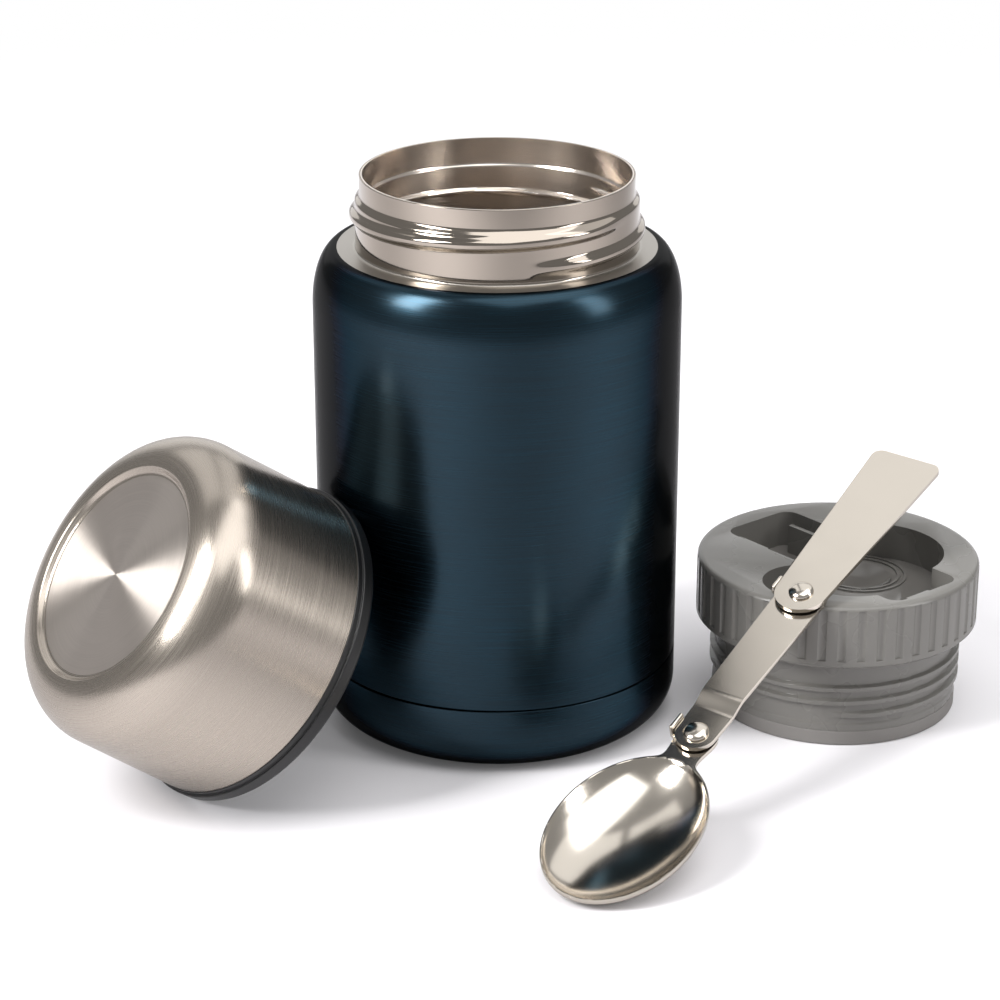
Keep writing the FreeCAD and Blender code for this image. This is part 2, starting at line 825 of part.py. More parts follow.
def neck_outline():
    """Neck plate: round end at the rivet, a waist, then a flare into the bowl's rim."""
    reach = bowl_centre - bowl_length / 2 + neck_root_reach
    waist = neck_waist / 2
    root = neck_root_width / 2
    left = [Vector(0, neck_radius, 0), Vector(-neck_waist_place, waist, 0), Vector(-reach, root, 0)]
    right = [Vector(v.x, -v.y, 0) for v in left]
    side_left = Part.BSplineCurve()
    side_left.interpolate(left, False, 1e-6, Vector(-1, 0, 0), Vector(-1, 1, 0))
    side_right = Part.BSplineCurve()
    side_right.interpolate(right, False, 1e-6, Vector(-1, 0, 0), Vector(-1, -1, 0))
    return Part.Wire([
        Part.Arc(right[0], Vector(neck_radius, 0, 0), left[0]).toShape(),
        side_left.toShape(),
        line(left[2], right[2]),
        side_right.toShape(),
    ])


def spoon_bowl():
    outer = ellipsoid(bowl_length, bowl_width, bowl_depth, -bowl_centre, 0)
    inner = ellipsoid(bowl_length - 2 * plate, bowl_width - 2 * plate, bowl_depth - plate, -bowl_centre, 0)
    span = 2 * bowl_length
    upper = Part.makeBox(span, span, span, Vector(-bowl_centre - span / 2, -span / 2, 0))
    dish = outer.cut(upper)
    neck = Part.Face(neck_outline()).extrude(Vector(0, 0, -plate))
    body = dish.fuse(neck).cut(inner)
    body = body.cut(set_hole(0, -plate, 0))
    tab_inner = link_narrow_radius + tab_gap + tab_end * (link_wide_radius - link_narrow_radius) / rivet_spacing
    tab = tab_block(tab_start, tab_end, tab_inner, neck_radius - tab_root_depth, -plate, tab_rise)
    return joined([tidy_solid(body), tab])


def domed_rivet(x, plate_bottom, head_bottom):
    """Rivet with a domed head, a plain shank and a tail set flush with its plate."""
    r = rivet_head_radius
    rise = rivet_head_height
    dome_radius = (r ** 2 + rise ** 2) / (2 * rise)
    dome_centre = point(0, head_bottom + rise - dome_radius)
    rim = math.degrees(math.asin((head_bottom - dome_centre.z) / dome_radius))
    edges = polyline_edges([
        point(0, head_bottom + rise), point(0, plate_bottom), point(rivet_tail_radius, plate_bottom),
        point(rivet_radius, plate_bottom + rivet_tail_height), point(rivet_radius, head_bottom),
        point(r, head_bottom),
    ])
    edges.append(arc_edge(dome_centre, dome_radius, rim, 90))
    rivet = revolve(edges)
    rivet.translate(Vector(x, 0, 0))
    return rivet


def bowl_rivet():
    return domed_rivet(0, -plate, link_end_top + washer_play)


def handle_rivet():
    return domed_rivet(rivet_spacing, link_bottom, handle_top + washer_play)


def washer(x, bottom):
    ring = tube(washer_radius, rivet_radius, bottom, bottom + washer_gap - washer_play)
    ring.translate(Vector(x, 0, 0))
    return ring


def spoon_axes():
    """Unit vectors of the leaning spoon: along it, to its left, and up through its plates."""
    yaw = math.radians(spoon_yaw)
    pitch = math.radians(spoon_pitch)
    roll = math.radians(spoon_roll)
    along = Vector(math.cos(pitch) * math.cos(yaw), math.cos(pitch) * math.sin(yaw), math.sin(pitch))
    level = Z_AXIS.cross(along)
    level.normalize()
    lifted = along.cross(level)
    left = level * math.cos(roll) + lifted * math.sin(roll)
    up = along.cross(left)
    return along, left, up


def spoon_height():
    """Height of the bowl rivet that rests the lowest point of the bowl on the floor."""
    along, left, up = spoon_axes()
    half_length = bowl_length / 2
    half_width = bowl_width / 2
    hang = math.sqrt((half_length * along.z) ** 2 + (half_width * left.z) ** 2 + (bowl_depth * up.z) ** 2)
    return bowl_centre * along.z + hang


def spoon_placement():
    along, left, up = spoon_axes()
    matrix = FreeCAD.Matrix(
        along.x, left.x, up.x, spoon_x,
        along.y, left.y, up.y, spoon_y,
        along.z, left.z, up.z, spoon_height(),
        0, 0, 0, 1)
    return FreeCAD.Placement(matrix)


def lean_spoon(shape):
    placed = shape.copy()
    placed.Placement = spoon_placement().multiply(placed.Placement)
    return placed


def jar_nodes():
    return {
        "outer_shell": outer_shell(),
        "inner_liner": inner_liner(),
        "vacuum_bottom": vacuum_bottom(),
        "evacuation_seal": evacuation_seal(),
        "getter": getter(),
        "reflector_foil": reflector_foil(),
        "base_cover": base_cover(),
    }


def cup_nodes():
    return {
        "cup_shell": lay_cup(cup_shell()),
        "cup_liner": lay_cup(cup_liner()),
    }


def stopper_nodes():
    return {
        "stopper_cap": place_stopper(stopper_cap()),
        "stopper_plug": place_stopper(stopper_plug()),
        "stopper_insulation": place_stopper(stopper_insulation()),
        "stopper_base": place_stopper(stopper_base()),
        "stopper_gasket": place_stopper(stopper_gasket()),
    }


def spoon_nodes():
    return {
        "spoon_bowl": lean_spoon(spoon_bowl()),
        "spoon_link": lean_spoon(spoon_link()),
        "spoon_handle": lean_spoon(spoon_handle()),
        "bowl_rivet": lean_spoon(bowl_rivet()),
        "handle_rivet": lean_spoon(handle_rivet()),
        "bowl_washer": lean_spoon(washer(0, 0)),
        "handle_washer": lean_spoon(washer(rivet_spacing, link_top)),
    }


def report_hinges():
    """Print the rivets' places and their common direction, for the joints."""
    along, left, up = spoon_axes()
    origin = Vector(spoon_x, spoon_y, spoon_height())
    handle_pin = origin + along * rivet_spacing
    for name, place in (("bowl rivet", origin), ("handle rivet", handle_pin)):
        print("%s at %.4f %.4f %.4f" % (name, place.x, place.y, place.z))
    print("rivet axis %.6f %.6f %.6f" % (up.x, up.y, up.z))


def main():
    os.makedirs("parts", exist_ok=True)
    nodes = {}
    for group in (jar_nodes, cup_nodes, stopper_nodes, spoon_nodes):
        nodes.update(group())
    for name, shape in nodes.items():
        shape.exportStep(os.path.join("parts", name + ".step"))
        state = "valid" if shape.isValid() else "NOT VALID"
        print("%-20s solids %d volume %10.2f %s" % (name, len(shape.Solids), shape.Volume, state))
    report_hinges()


main()
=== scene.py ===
"""Looks of an insulated food jar with its cup lid, screw stopper and folding spoon."""

import logging
import math
from dataclasses import dataclass
from enum import Enum
from typing import Callable, Sequence

import bmesh
import bpy
from mathutils import Matrix, Vector

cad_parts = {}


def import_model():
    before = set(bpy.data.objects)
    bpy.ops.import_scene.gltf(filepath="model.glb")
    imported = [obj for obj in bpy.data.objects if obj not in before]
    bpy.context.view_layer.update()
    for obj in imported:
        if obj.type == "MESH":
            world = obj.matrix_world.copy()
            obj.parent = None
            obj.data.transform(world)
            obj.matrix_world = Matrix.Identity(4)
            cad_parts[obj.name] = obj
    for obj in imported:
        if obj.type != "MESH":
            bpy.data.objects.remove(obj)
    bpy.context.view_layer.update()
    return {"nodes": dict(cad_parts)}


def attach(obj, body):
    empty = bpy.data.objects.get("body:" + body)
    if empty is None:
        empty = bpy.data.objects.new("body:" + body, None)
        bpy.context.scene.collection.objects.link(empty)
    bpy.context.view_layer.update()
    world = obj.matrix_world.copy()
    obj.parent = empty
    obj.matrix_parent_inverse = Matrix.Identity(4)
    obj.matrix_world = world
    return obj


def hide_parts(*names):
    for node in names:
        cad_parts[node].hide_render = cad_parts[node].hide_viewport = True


LOG = logging.getLogger("food_jar")
MM = 0.001
MM_PER_METRE = 1000.0
FULL_TURN = 2 * math.pi
QUARTER_TURN = math.pi / 2
UV_NAME = "turning"
# Edges that turn by more degrees than this stay sharp
SHARP_ANGLE = 38.0
# Radii below this, in millimetres, lie on the axis
ON_AXIS = 1e-6
# Points nearer than this, in metres, are one point
WELD = 2e-6
# Edges shorter than this, in metres, are taken out
SLIVER = 1e-6
# A radius in millimetres that no piece reaches
FAR_OUT = 1000.0

Profile = list[tuple[float, float]]


# Outlines

def rounded(corners: Sequence[tuple[float, float, float]], steps: int = 5) -> Profile:
    """Round the corners of an outline.

    Args:
        corners: radius, height and corner radius of each corner, in millimetres.
        steps: straight pieces in each rounded corner.

    Returns:
        Radius and height of each point of the rounded outline.
    """
    out: Profile = []
    last = len(corners) - 1
    for index, (r, z, soft) in enumerate(corners):
        if soft <= 0 or index in (0, last):
            out.append((r, z))
            continue
        here = Vector((r, z))
        back = Vector(corners[index - 1][:2]) - here
        ahead = Vector(corners[index + 1][:2]) - here
        reach = min(soft, back.length * 0.5, ahead.length * 0.5)
        start = here + back.normalized() * reach
        end = here + ahead.normalized() * reach
        for step in range(steps + 1):
            t = step / steps
            p = start * (1 - t) ** 2 + here * 2 * t * (1 - t) + end * t ** 2
            out.append((p.x, p.y))
    return out


def densified(profile: Profile, low: float, high: float, step: float) -> Profile:
    """Add points to an outline where a thread will shape it.

    Args:
        profile: the outline, in millimetres.
        low: height from which points are added.
        high: height up to which they are added.
        step: greatest distance between points there.

    Returns:
        The outline with its added points.
    """
    out: Profile = [profile[0]]
    for (r0, z0), (r1, z1) in zip(profile, profile[1:]):
        length = math.hypot(r1 - r0, z1 - z0)
        inside = max(z0, z1) > low and min(z0, z1) < high
        pieces = max(1, math.ceil(length / step)) if inside else 1
        for index in range(1, pieces + 1):
            t = index / pieces
            out.append((r0 + (r1 - r0) * t, z0 + (z1 - z0) * t))
    return out


def arc(centre: tuple[float, float], run: float, rise: float, start: float, end: float,
        steps: int) -> Profile:
    """Draw an elliptical arc of an outline.

    Args:
        centre: radius and height of the arc's centre, in millimetres.
        run: half its width.
        rise: half its height.
        start: first angle in degrees, from outwards towards up.
        end: last angle in degrees.
        steps: straight pieces in the arc.

    Returns:
        Radius and height of each point.
    """
    angles = [math.radians(start + (end - start) * step / steps) for step in range(steps + 1)]
    return [(centre[0] + run * math.cos(a), centre[1] + rise * math.sin(a)) for a in angles]


def even_places(start: float, end: float, count: int) -> list[float]:
    """Return places at even steps from a start up to an end, without the end."""
    return [start + (end - start) * i / count for i in range(count)]


def round_start(centre: float, radius: float, count: int) -> list[float]:
    """Return places along the round end that a plate starts with, without its centre."""
    return [centre - radius * math.cos(QUARTER_TURN * i / count) for i in range(count)]


def round_end(centre: float, radius: float, count: int) -> list[float]:
    """Return places along the round end that a plate closes with."""
    return [centre + radius * math.sin(QUARTER_TURN * i / count) for i in range(count + 1)]


def circle(radius: float, away: float) -> float:
    """Return half the width of a circle at a distance from its centre."""
    return math.sqrt(max(0.0, radius ** 2 - away ** 2))


def clamped(value: float) -> float:
    """Keep a value between 0 and 1."""
    return max(0.0, min(1.0, value))


def shift(x: float = 0.0, y: float = 0.0, z: float = 0.0) -> Matrix:
    """Return a move in millimetres as a transform."""
    return Matrix.Translation((x * MM, y * MM, z * MM))


# Meshes

def mesh_object(name: str, mesh: bpy.types.Mesh) -> bpy.types.Object:
    """Put a mesh in the scene as an object at the origin."""
    obj = bpy.data.objects.new(name, mesh)
    bpy.context.scene.collection.objects.link(obj)
    return obj


def mesh_of(bm: bmesh.types.BMesh, name: str) -> bpy.types.Mesh:
    """Store an edited mesh under a name and free it."""
    mesh = bpy.data.meshes.new(name)
    bm.to_mesh(mesh)
    bm.free()
    return mesh


def shade(mesh: bpy.types.Mesh, sharp_angle: float = SHARP_ANGLE) -> None:
    """Shade a mesh smoothly, with edges kept sharp above an angle in degrees."""
    mesh.polygons.foreach_set("use_smooth", [True] * len(mesh.polygons))
    mesh.set_sharp_from_angle(angle=math.radians(sharp_angle))
    mesh.update()


def lathe(name: str, profile: Profile, segments: int, closed: bool = True) -> bpy.types.Object:
    """Turn an outline round the Z axis.

    Args:
        name: name of the new object.
        profile: radius and height of each point, in millimetres.
        segments: number of facets round the axis.
        closed: True joins the outline's last point to its first.

    Returns:
        The turned piece, with a UV map of distance round and distance along the outline.
    """
    bm = bmesh.new()
    uv = bm.loops.layers.uv.new(UV_NAME)
    angles = [QUARTER_TURN + FULL_TURN * i / segments for i in range(segments)]
    rings: list[list[bmesh.types.BMVert]] = []
    for r, z in profile:
        around = angles[:1] if r < ON_AXIS else angles
        reach = 0.0 if r < ON_AXIS else r * MM
        rings.append([bm.verts.new((reach * math.cos(a), reach * math.sin(a), z * MM)) for a in around])
    along = [0.0]
    for (r0, z0), (r1, z1) in zip(profile, profile[1:] + profile[:1]):
        along.append(along[-1] + math.hypot(r1 - r0, z1 - z0) * MM)
    girth = FULL_TURN * max(r for r, _ in profile) * MM
    pairs = [(i, i + 1) for i in range(len(profile) - 1)]
    if closed:
        pairs.append((len(profile) - 1, 0))
    for index, (a, b) in enumerate(pairs):
        if len(rings[a]) == 1 and len(rings[b]) == 1:
            continue
        for s in range(segments):
            t = (s + 1) % segments
            corners = [(a, s, 0), (a, t, 0), (b, t, 1), (b, s, 1)]
            if len(rings[a]) == 1:
                del corners[1]
            elif len(rings[b]) == 1:
                del corners[2]
            face = bm.faces.new([rings[ring][i % len(rings[ring])] for ring, i, _ in corners])
            for loop, (_, i, side) in zip(face.loops, corners):
                turn = s if i == s else s + 1
                loop[uv].uv = (girth * turn / segments, along[index + side])
    bmesh.ops.recalc_face_normals(bm, faces=bm.faces)
    mesh = mesh_of(bm, name)
    shade(mesh)
    return mesh_object(name, mesh)


def plate(name: str, stations: Sequence[float], half_width: Callable[[float], float],
          top: Callable[[float, float], float], bottom: Callable[[float, float], float],
          across: int) -> bpy.types.Object:
    """Build a closed sheet-metal piece over a long outline.

    Args:
        name: name of the new object.
        stations: places along the piece, in millimetres.
        half_width: half the piece's width at a station.
        top: height of the upper face at a place along and across.
        bottom: height of the lower face there.
        across: facets across the piece.

    Returns:
        The piece, still in its own axes.
    """
    bm = bmesh.new()
    upper: list[list[bmesh.types.BMVert]] = []
    lower: list[list[bmesh.types.BMVert]] = []
    spread = [math.sin(QUARTER_TURN * (2 * i / across - 1)) for i in range(across + 1)]
    for x in stations:
        w = half_width(x)
        upper.append([bm.verts.new((x * MM, w * t * MM, top(x, w * t) * MM)) for t in spread])
        lower.append([bm.verts.new((x * MM, w * t * MM, bottom(x, w * t) * MM)) for t in spread])
    for i in range(len(stations) - 1):
        for j in range(across):
            bm.faces.new((upper[i][j], upper[i + 1][j], upper[i + 1][j + 1], upper[i][j + 1]))
            bm.faces.new((lower[i][j], lower[i][j + 1], lower[i + 1][j + 1], lower[i + 1][j]))
        for j in (0, across):
            bm.faces.new((upper[i][j], lower[i][j], lower[i + 1][j], upper[i + 1][j]))
    for i in (0, len(stations) - 1):
        for j in range(across):
            bm.faces.new((upper[i][j], upper[i][j + 1], lower[i][j + 1], lower[i][j]))
    bmesh.ops.remove_doubles(bm, verts=bm.verts, dist=WELD)
    bmesh.ops.dissolve_degenerate(bm, edges=bm.edges, dist=SLIVER)
    bmesh.ops.recalc_face_normals(bm, faces=bm.faces)
    mesh = mesh_of(bm, name)
    shade(mesh)
    return mesh_object(name, mesh)


def block(name: str, low: tuple[float, float, float], high: tuple[float, float, float]) -> bpy.types.Object:
    """Build a box, to be softened by a bevel.

    Args:
        name: name of the new object.
        low: its lowest corner, in millimetres.
        high: its highest corner.

    Returns:
        The box.
    """
    bm = bmesh.new()
    size = [(h - l) * MM for l, h in zip(low, high)]
    middle = [(h + l) / 2 * MM for l, h in zip(low, high)]
    bmesh.ops.create_cube(bm, size=1.0, matrix=Matrix.Translation(middle) @ Matrix.Diagonal((*size, 1)))
    return mesh_object(name, mesh_of(bm, name))


def bevel(obj: bpy.types.Object, width: float, angle: float = SHARP_ANGLE, segments: int = 3) -> None:
    """Round the sharp edges of a piece with a modifier.

    Args:
        obj: the piece.
        width: width of the rounding, in millimetres.
        angle: edges that turn by more degrees than this are rounded.
        segments: facets across the rounding.
    """
    modifier = obj.modifiers.new("edges", "BEVEL")
    modifier.width = width * MM
    modifier.segments = segments
    modifier.limit_method = "ANGLE"
    modifier.angle_limit = math.radians(angle)
    modifier.harden_normals = False
    modifier.use_clamp_overlap = True


def baked(obj: bpy.types.Object, name: str) -> bpy.types.Object:
    """Turn a piece and its modifiers into a plain mesh object and remove the original.

    Args:
        obj: the piece with its modifiers.
        name: name of the result.

    Returns:
        The plain piece.
    """
    graph = bpy.context.evaluated_depsgraph_get()
    mesh = bpy.data.meshes.new_from_object(obj.evaluated_get(graph), depsgraph=graph)
    mesh.name = name
    bpy.data.objects.remove(obj)
    out = mesh_object(name, mesh)
    out.name = name
    return out


def merged(name: str, pieces: Sequence[bpy.types.Object]) -> bpy.types.Object:
    """Join plain pieces into one object and remove them.

    Args:
        name: name of the result.
        pieces: the pieces, without modifiers.

    Returns:
        The joined piece.
    """
    bm = bmesh.new()
    for piece in pieces:
        bm.from_mesh(piece.data)
    mesh = mesh_of(bm, name)
    for piece in pieces:
        bpy.data.objects.remove(piece)
    shade(mesh)
    return mesh_object(name, mesh)


def placed(obj: bpy.types.Object, place: Matrix) -> bpy.types.Object:
    """Move a piece's mesh to its place while its object stays at the origin."""
    obj.data.transform(place)
    obj.data.update()
    return obj


# Nodes

MATH = "ShaderNodeMath"
VECTOR_MATH = "ShaderNodeVectorMath"
COMPARE = "FunctionNodeCompare"
BOOLEAN = "FunctionNodeBooleanMath"
# Sockets of the Mix node while it mixes colours
MIX_FACTOR, MIX_FIRST, MIX_SECOND, MIX_RESULT = 0, 6, 7, 2
# The part of a noise texture's range in which nearly all of its values lie
NOISE_RANGE = {"From Min": 0.3, "From Max": 0.7}


def srgb(code: str) -> tuple[float, float, float, float]:
    """Turn an sRGB hex colour into Blender's linear colour."""
    values = [int(code[i:i + 2], 16) / 255 for i in (1, 3, 5)]
    linear = [v / 12.92 if v <= 0.04045 else ((v + 0.055) / 1.055) ** 2.4 for v in values]
    return (*linear, 1.0)


def shaded(code: str, factor: float) -> tuple[float, float, float, float]:
    """Return an sRGB hex colour in linear form, lighter or darker by a factor."""
    return (*(min(1.0, value * factor) for value in srgb(code)[:3]), 1.0)


def spread(middle: float, by: float) -> dict[str, float]:
    """Return a Map Range node's output limits on both sides of a middle value."""
    return {"To Min": middle - by, "To Max": middle + by}


def add_node(tree: bpy.types.NodeTree, kind: str, links: dict | None = None, **settings) -> bpy.types.Node:
    """Add a node with its settings and links.

    Args:
        tree: node tree that gets the node.
        kind: the node's type.
        links: for each input, a socket to connect or a plain value.
        settings: properties of the node itself.

    Returns:
        The new node.
    """
    node = tree.nodes.new(kind)
    for key, value in settings.items():
        setattr(node, key, value)
    for key, value in (links or {}).items():
        socket = node.inputs[key]
        if isinstance(value, bpy.types.NodeSocket):
            tree.links.new(value, socket)
        else:
            socket.default_value = value
    return node


def work_out(tree: bpy.types.NodeTree, known: dict[str, object], steps: Sequence[tuple[str, ...]]) -> None:
    """Add a chain of nodes that each do one operation.

    Args:
        tree: node tree that gets the nodes.
        known: sockets and values by name; each step's result joins them.
        steps: for each step, the name of its result, the node type, the operation and the names
            of what it works on.
    """
    for result, kind, operation, *names in steps:
        links = {index: known[name] for index, name in enumerate(names)}
        known[result] = add_node(tree, kind, links, operation=operation).outputs[0]


def geometry_tree(name: str, inputs: dict[str, float | int]) -> bpy.types.NodeTree:
    """Start a Geometry Nodes tree.

    Args:
        name: name of the tree.
        inputs: its sizes by name; a whole number makes an input for whole numbers.

    Returns:
        The tree, with its interface and no nodes.
    """
    tree = bpy.data.node_groups.new(name, "GeometryNodeTree")
    tree.interface.new_socket("Geometry", in_out="INPUT", socket_type="NodeSocketGeometry")
    for label, value in inputs.items():
        kind = "NodeSocketInt" if isinstance(value, int) else "NodeSocketFloat"
        tree.interface.new_socket(label, in_out="INPUT", socket_type=kind)
    tree.interface.new_socket("Geometry", in_out="OUTPUT", socket_type="NodeSocketGeometry")
    return tree


def grown(obj: bpy.types.Object, name: str, tree: bpy.types.NodeTree,
          inputs: dict[str, float | int]) -> bpy.types.Object:
    """Run a Geometry Nodes tree on a piece and make the result a plain mesh.

    Args:
        obj: the piece.
        name: name of the result.
        tree: the tree.
        inputs: value of each of the tree's named inputs.

    Returns:
        The finished mesh as an object.
    """
    modifier = obj.modifiers.new("growth", "NODES")
    modifier.node_group = tree
    for item in tree.interface.items_tree:
        if item.item_type == "SOCKET" and item.in_out == "INPUT" and item.name in inputs:
            modifier[item.identifier] = inputs[item.name]
    obj.update_tag()
    out = baked(obj, name)
    shade(out.data)
    return out


def new_material(name: str) -> tuple[bpy.types.Material, bpy.types.NodeTree]:
    """Make an empty node material and return it with its tree."""
    material = bpy.data.materials.new(name)
    material.use_nodes = True
    material.node_tree.nodes.clear()
    return material, material.node_tree


def dress(obj: bpy.types.Object, material: bpy.types.Material) -> None:
    """Give a piece one material."""
    obj.data.materials.clear()
    obj.data.materials.append(material)


def dress_part(obj: bpy.types.Object, material: bpy.types.Material,
               chosen: Callable[[Vector, Vector], bool]) -> None:
    """Give some faces of a piece one more material.

    Args:
        obj: the piece.
        material: the further material.
        chosen: picks faces by their centre in millimetres and their normal.
    """
    obj.data.materials.append(material)
    for face in obj.data.polygons:
        if chosen(face.center / MM, face.normal):
            face.material_index = len(obj.data.materials) - 1


def finished(piece: bpy.types.Object, body: str, node: str | None = None) -> bpy.types.Object:
    """Hand a finished piece to the frame.

    Args:
        piece: the piece, at its place.
        body: body that it moves with.
        node: solid that it stands for, if any.

    Returns:
        The same piece.
    """
    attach(piece, body)
    if node is not None:
        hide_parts(node)
    return piece


# Finishes

@dataclass(frozen=True)
class Brushing:
    """Fine lines that a belt or a turning tool left round a piece, sizes in millimetres.

    Real lines are finer still; these are as coarse as they need to be to show.
    """

    spacing: float
    length: float
    depth: float
    anisotropy: float
    harshness: float = 0.65
    # A quarter turn stretches the highlight across lines that run round the piece
    rotation: float = 0.25

    def lines(self, tree: bpy.types.NodeTree) -> bpy.types.NodeSocket:
        """Draw the lines from the piece's UV map, which is in metres.

        Args:
            tree: the material's tree.

        Returns:
            The pattern, from 0 to 1.
        """
        uv = add_node(tree, "ShaderNodeUVMap", uv_map=UV_NAME)
        stretched = add_node(tree, "ShaderNodeMapping", {
            "Vector": uv.outputs[0],
            "Scale": (MM_PER_METRE / self.length, MM_PER_METRE / self.spacing, 1.0)})
        noise = add_node(tree, "ShaderNodeTexNoise", {
            "Vector": stretched.outputs[0], "Scale": 1.0, "Detail": 4.0, "Roughness": self.harshness})
        return add_node(tree, "ShaderNodeMapRange", {"Value": noise.outputs[0], **NOISE_RANGE}).outputs[0]

    def relief(self, tree: bpy.types.NodeTree, lines: bpy.types.NodeSocket) -> dict[str, object]:
        """Return the shader inputs for the lines' relief and the highlight that they stretch."""
        bump = add_node(tree, "ShaderNodeBump", {
            "Height": lines, "Distance": self.depth * MM, "Strength": 1.0})
        tangent = add_node(tree, "ShaderNodeTangent", direction_type="UV_MAP", uv_map=UV_NAME)
        return {"Anisotropic": self.anisotropy, "Anisotropic Rotation": self.rotation,
                "Tangent": tangent.outputs[0], "Normal": bump.outputs[0]}


@dataclass(frozen=True)
class MetalFinish:
    """Bare metal, polished or with brushed lines."""

    name: str
    colour: str
    roughness: float
    roughness_spread: float
    colour_spread: float = 0.05
    brushing: Brushing | None = None
    smudge_mm: float = 14.0

    def material(self) -> bpy.types.Material:
        """Build the finish as a node material.

        Returns:
            The material.
        """
        material, tree = new_material(self.name)
        inputs = self._polished(tree) if self.brushing is None else self._brushed(tree, self.brushing)
        shader = add_node(tree, "ShaderNodeBsdfPrincipled", {"Metallic": 1.0, **inputs})
        add_node(tree, "ShaderNodeOutputMaterial", {"Surface": shader.outputs[0]})
        return material

    def _polished(self, tree: bpy.types.NodeTree) -> dict[str, object]:
        """Return the shader inputs of a polished surface with faint smudges.

        Args:
            tree: the material's tree.

        Returns:
            Sockets and values by input name.
        """
        smudge = add_node(tree, "ShaderNodeTexNoise", {
            "Vector": add_node(tree, "ShaderNodeTexCoord").outputs["Object"],
            "Scale": MM_PER_METRE / self.smudge_mm, "Detail": 3.0})
        rough = add_node(tree, "ShaderNodeMapRange", {
            "Value": smudge.outputs[0], **NOISE_RANGE, **spread(self.roughness, self.roughness_spread)})
        return {"Base Color": srgb(self.colour), "Roughness": rough.outputs[0]}

    def _brushed(self, tree: bpy.types.NodeTree, brushing: Brushing) -> dict[str, object]:
        """Return the shader inputs of a brushed surface.

        Args:
            tree: the material's tree.
            brushing: its lines.

        Returns:
            Sockets and values by input name.
        """
        lines = brushing.lines(tree)
        rough = add_node(tree, "ShaderNodeMapRange", {
            "Value": lines, **spread(self.roughness, self.roughness_spread)})
        tint = add_node(tree, "ShaderNodeMix", {
            MIX_FACTOR: lines, MIX_FIRST: shaded(self.colour, 1 - self.colour_spread),
            MIX_SECOND: shaded(self.colour, 1 + self.colour_spread)}, data_type="RGBA")
        return {"Base Color": tint.outputs[MIX_RESULT], "Roughness": rough.outputs[0],
                **brushing.relief(tree, lines)}


@dataclass(frozen=True)
class LacquerFinish:
    """Translucent coloured lacquer over steel that was brushed round the body."""

    name: str
    deep_colour: str
    light_colour: str
    brushing: Brushing
    edge_colour: str = "#606060"
    coat_weight: float = 0.15
    coat_roughness: float = 0.2
    roughness: float = 0.26
    roughness_spread: float = 0.03
    cloud_mm: float = 30.0

    def material(self) -> bpy.types.Material:
        """Build the lacquer as a node material.

        Returns:
            The material.
        """
        material, tree = new_material(self.name)
        lines = self.brushing.lines(tree)
        clouds = add_node(tree, "ShaderNodeTexNoise", {
            "Vector": add_node(tree, "ShaderNodeTexCoord").outputs["Object"],
            "Scale": MM_PER_METRE / self.cloud_mm, "Detail": 2.0})
        blend = add_node(tree, MATH, {0: lines, 1: clouds.outputs[0]}, operation="MULTIPLY")
        tint = add_node(tree, "ShaderNodeMix", {
            MIX_FACTOR: blend.outputs[0], MIX_FIRST: srgb(self.deep_colour),
            MIX_SECOND: srgb(self.light_colour)}, data_type="RGBA")
        rough = add_node(tree, "ShaderNodeMapRange", {
            "Value": lines, **spread(self.roughness, self.roughness_spread)})
        shader = add_node(tree, "ShaderNodeBsdfPrincipled", {
            "Base Color": tint.outputs[MIX_RESULT], "Metallic": 1.0, "Roughness": rough.outputs[0],
            "Specular Tint": srgb(self.edge_colour), "Coat Weight": self.coat_weight,
            "Coat Roughness": self.coat_roughness, **self.brushing.relief(tree, lines)})
        add_node(tree, "ShaderNodeOutputMaterial", {"Surface": shader.outputs[0]})
        return material


@dataclass(frozen=True)
class PlasticFinish:
    """Moulded plastic or silicone with a faint spark-eroded grain."""

    name: str
    colour: str
    roughness: float
    grain_mm: float = 0.35
    grain_depth_mm: float = 0.01
    colour_spread: float = 0.04
    roughness_spread: float = 0.05
    patch_mm: float = 22.0

    def material(self) -> bpy.types.Material:
        """Build the plastic as a node material.

        Returns:
            The material.
        """
        material, tree = new_material(self.name)
        place = add_node(tree, "ShaderNodeTexCoord").outputs["Object"]
        grain = add_node(tree, "ShaderNodeTexNoise", {
            "Vector": place, "Scale": MM_PER_METRE / self.grain_mm, "Detail": 2.0})
        patches = add_node(tree, "ShaderNodeTexNoise", {
            "Vector": place, "Scale": MM_PER_METRE / self.patch_mm, "Detail": 3.0})
        tint = add_node(tree, "ShaderNodeMix", {
            MIX_FACTOR: patches.outputs[0], MIX_FIRST: shaded(self.colour, 1 - self.colour_spread),
            MIX_SECOND: shaded(self.colour, 1 + self.colour_spread)}, data_type="RGBA")
        rough = add_node(tree, "ShaderNodeMapRange", {
            "Value": patches.outputs[0], **NOISE_RANGE, **spread(self.roughness, self.roughness_spread)})
        bump = add_node(tree, "ShaderNodeBump", {
            "Height": grain.outputs[0], "Distance": self.grain_depth_mm * MM, "Strength": 1.0})
        shader = add_node(tree, "ShaderNodeBsdfPrincipled", {
            "Base Color": tint.outputs[MIX_RESULT], "Roughness": rough.outputs[0],
            "Normal": bump.outputs[0]})
        add_node(tree, "ShaderNodeOutputMaterial", {"Surface": shader.outputs[0]})
        return material


# Deep teal lacquer: the brushed steel under it gives a soft metallic sheen with fine level lines
BLUE_LACQUER = LacquerFinish(
    "teal_lacquer_on_brushed_steel", "#212e36", "#21404f",
    brushing=Brushing(spacing=0.3, length=30.0, depth=0.0015, anisotropy=0.4, harshness=0.7))
# Electropolished stainless steel of the neck: mirror-like with a warm grey cast
POLISHED_NECK = MetalFinish("electropolished_steel_neck", "#a39a90", roughness=0.09, roughness_spread=0.03)
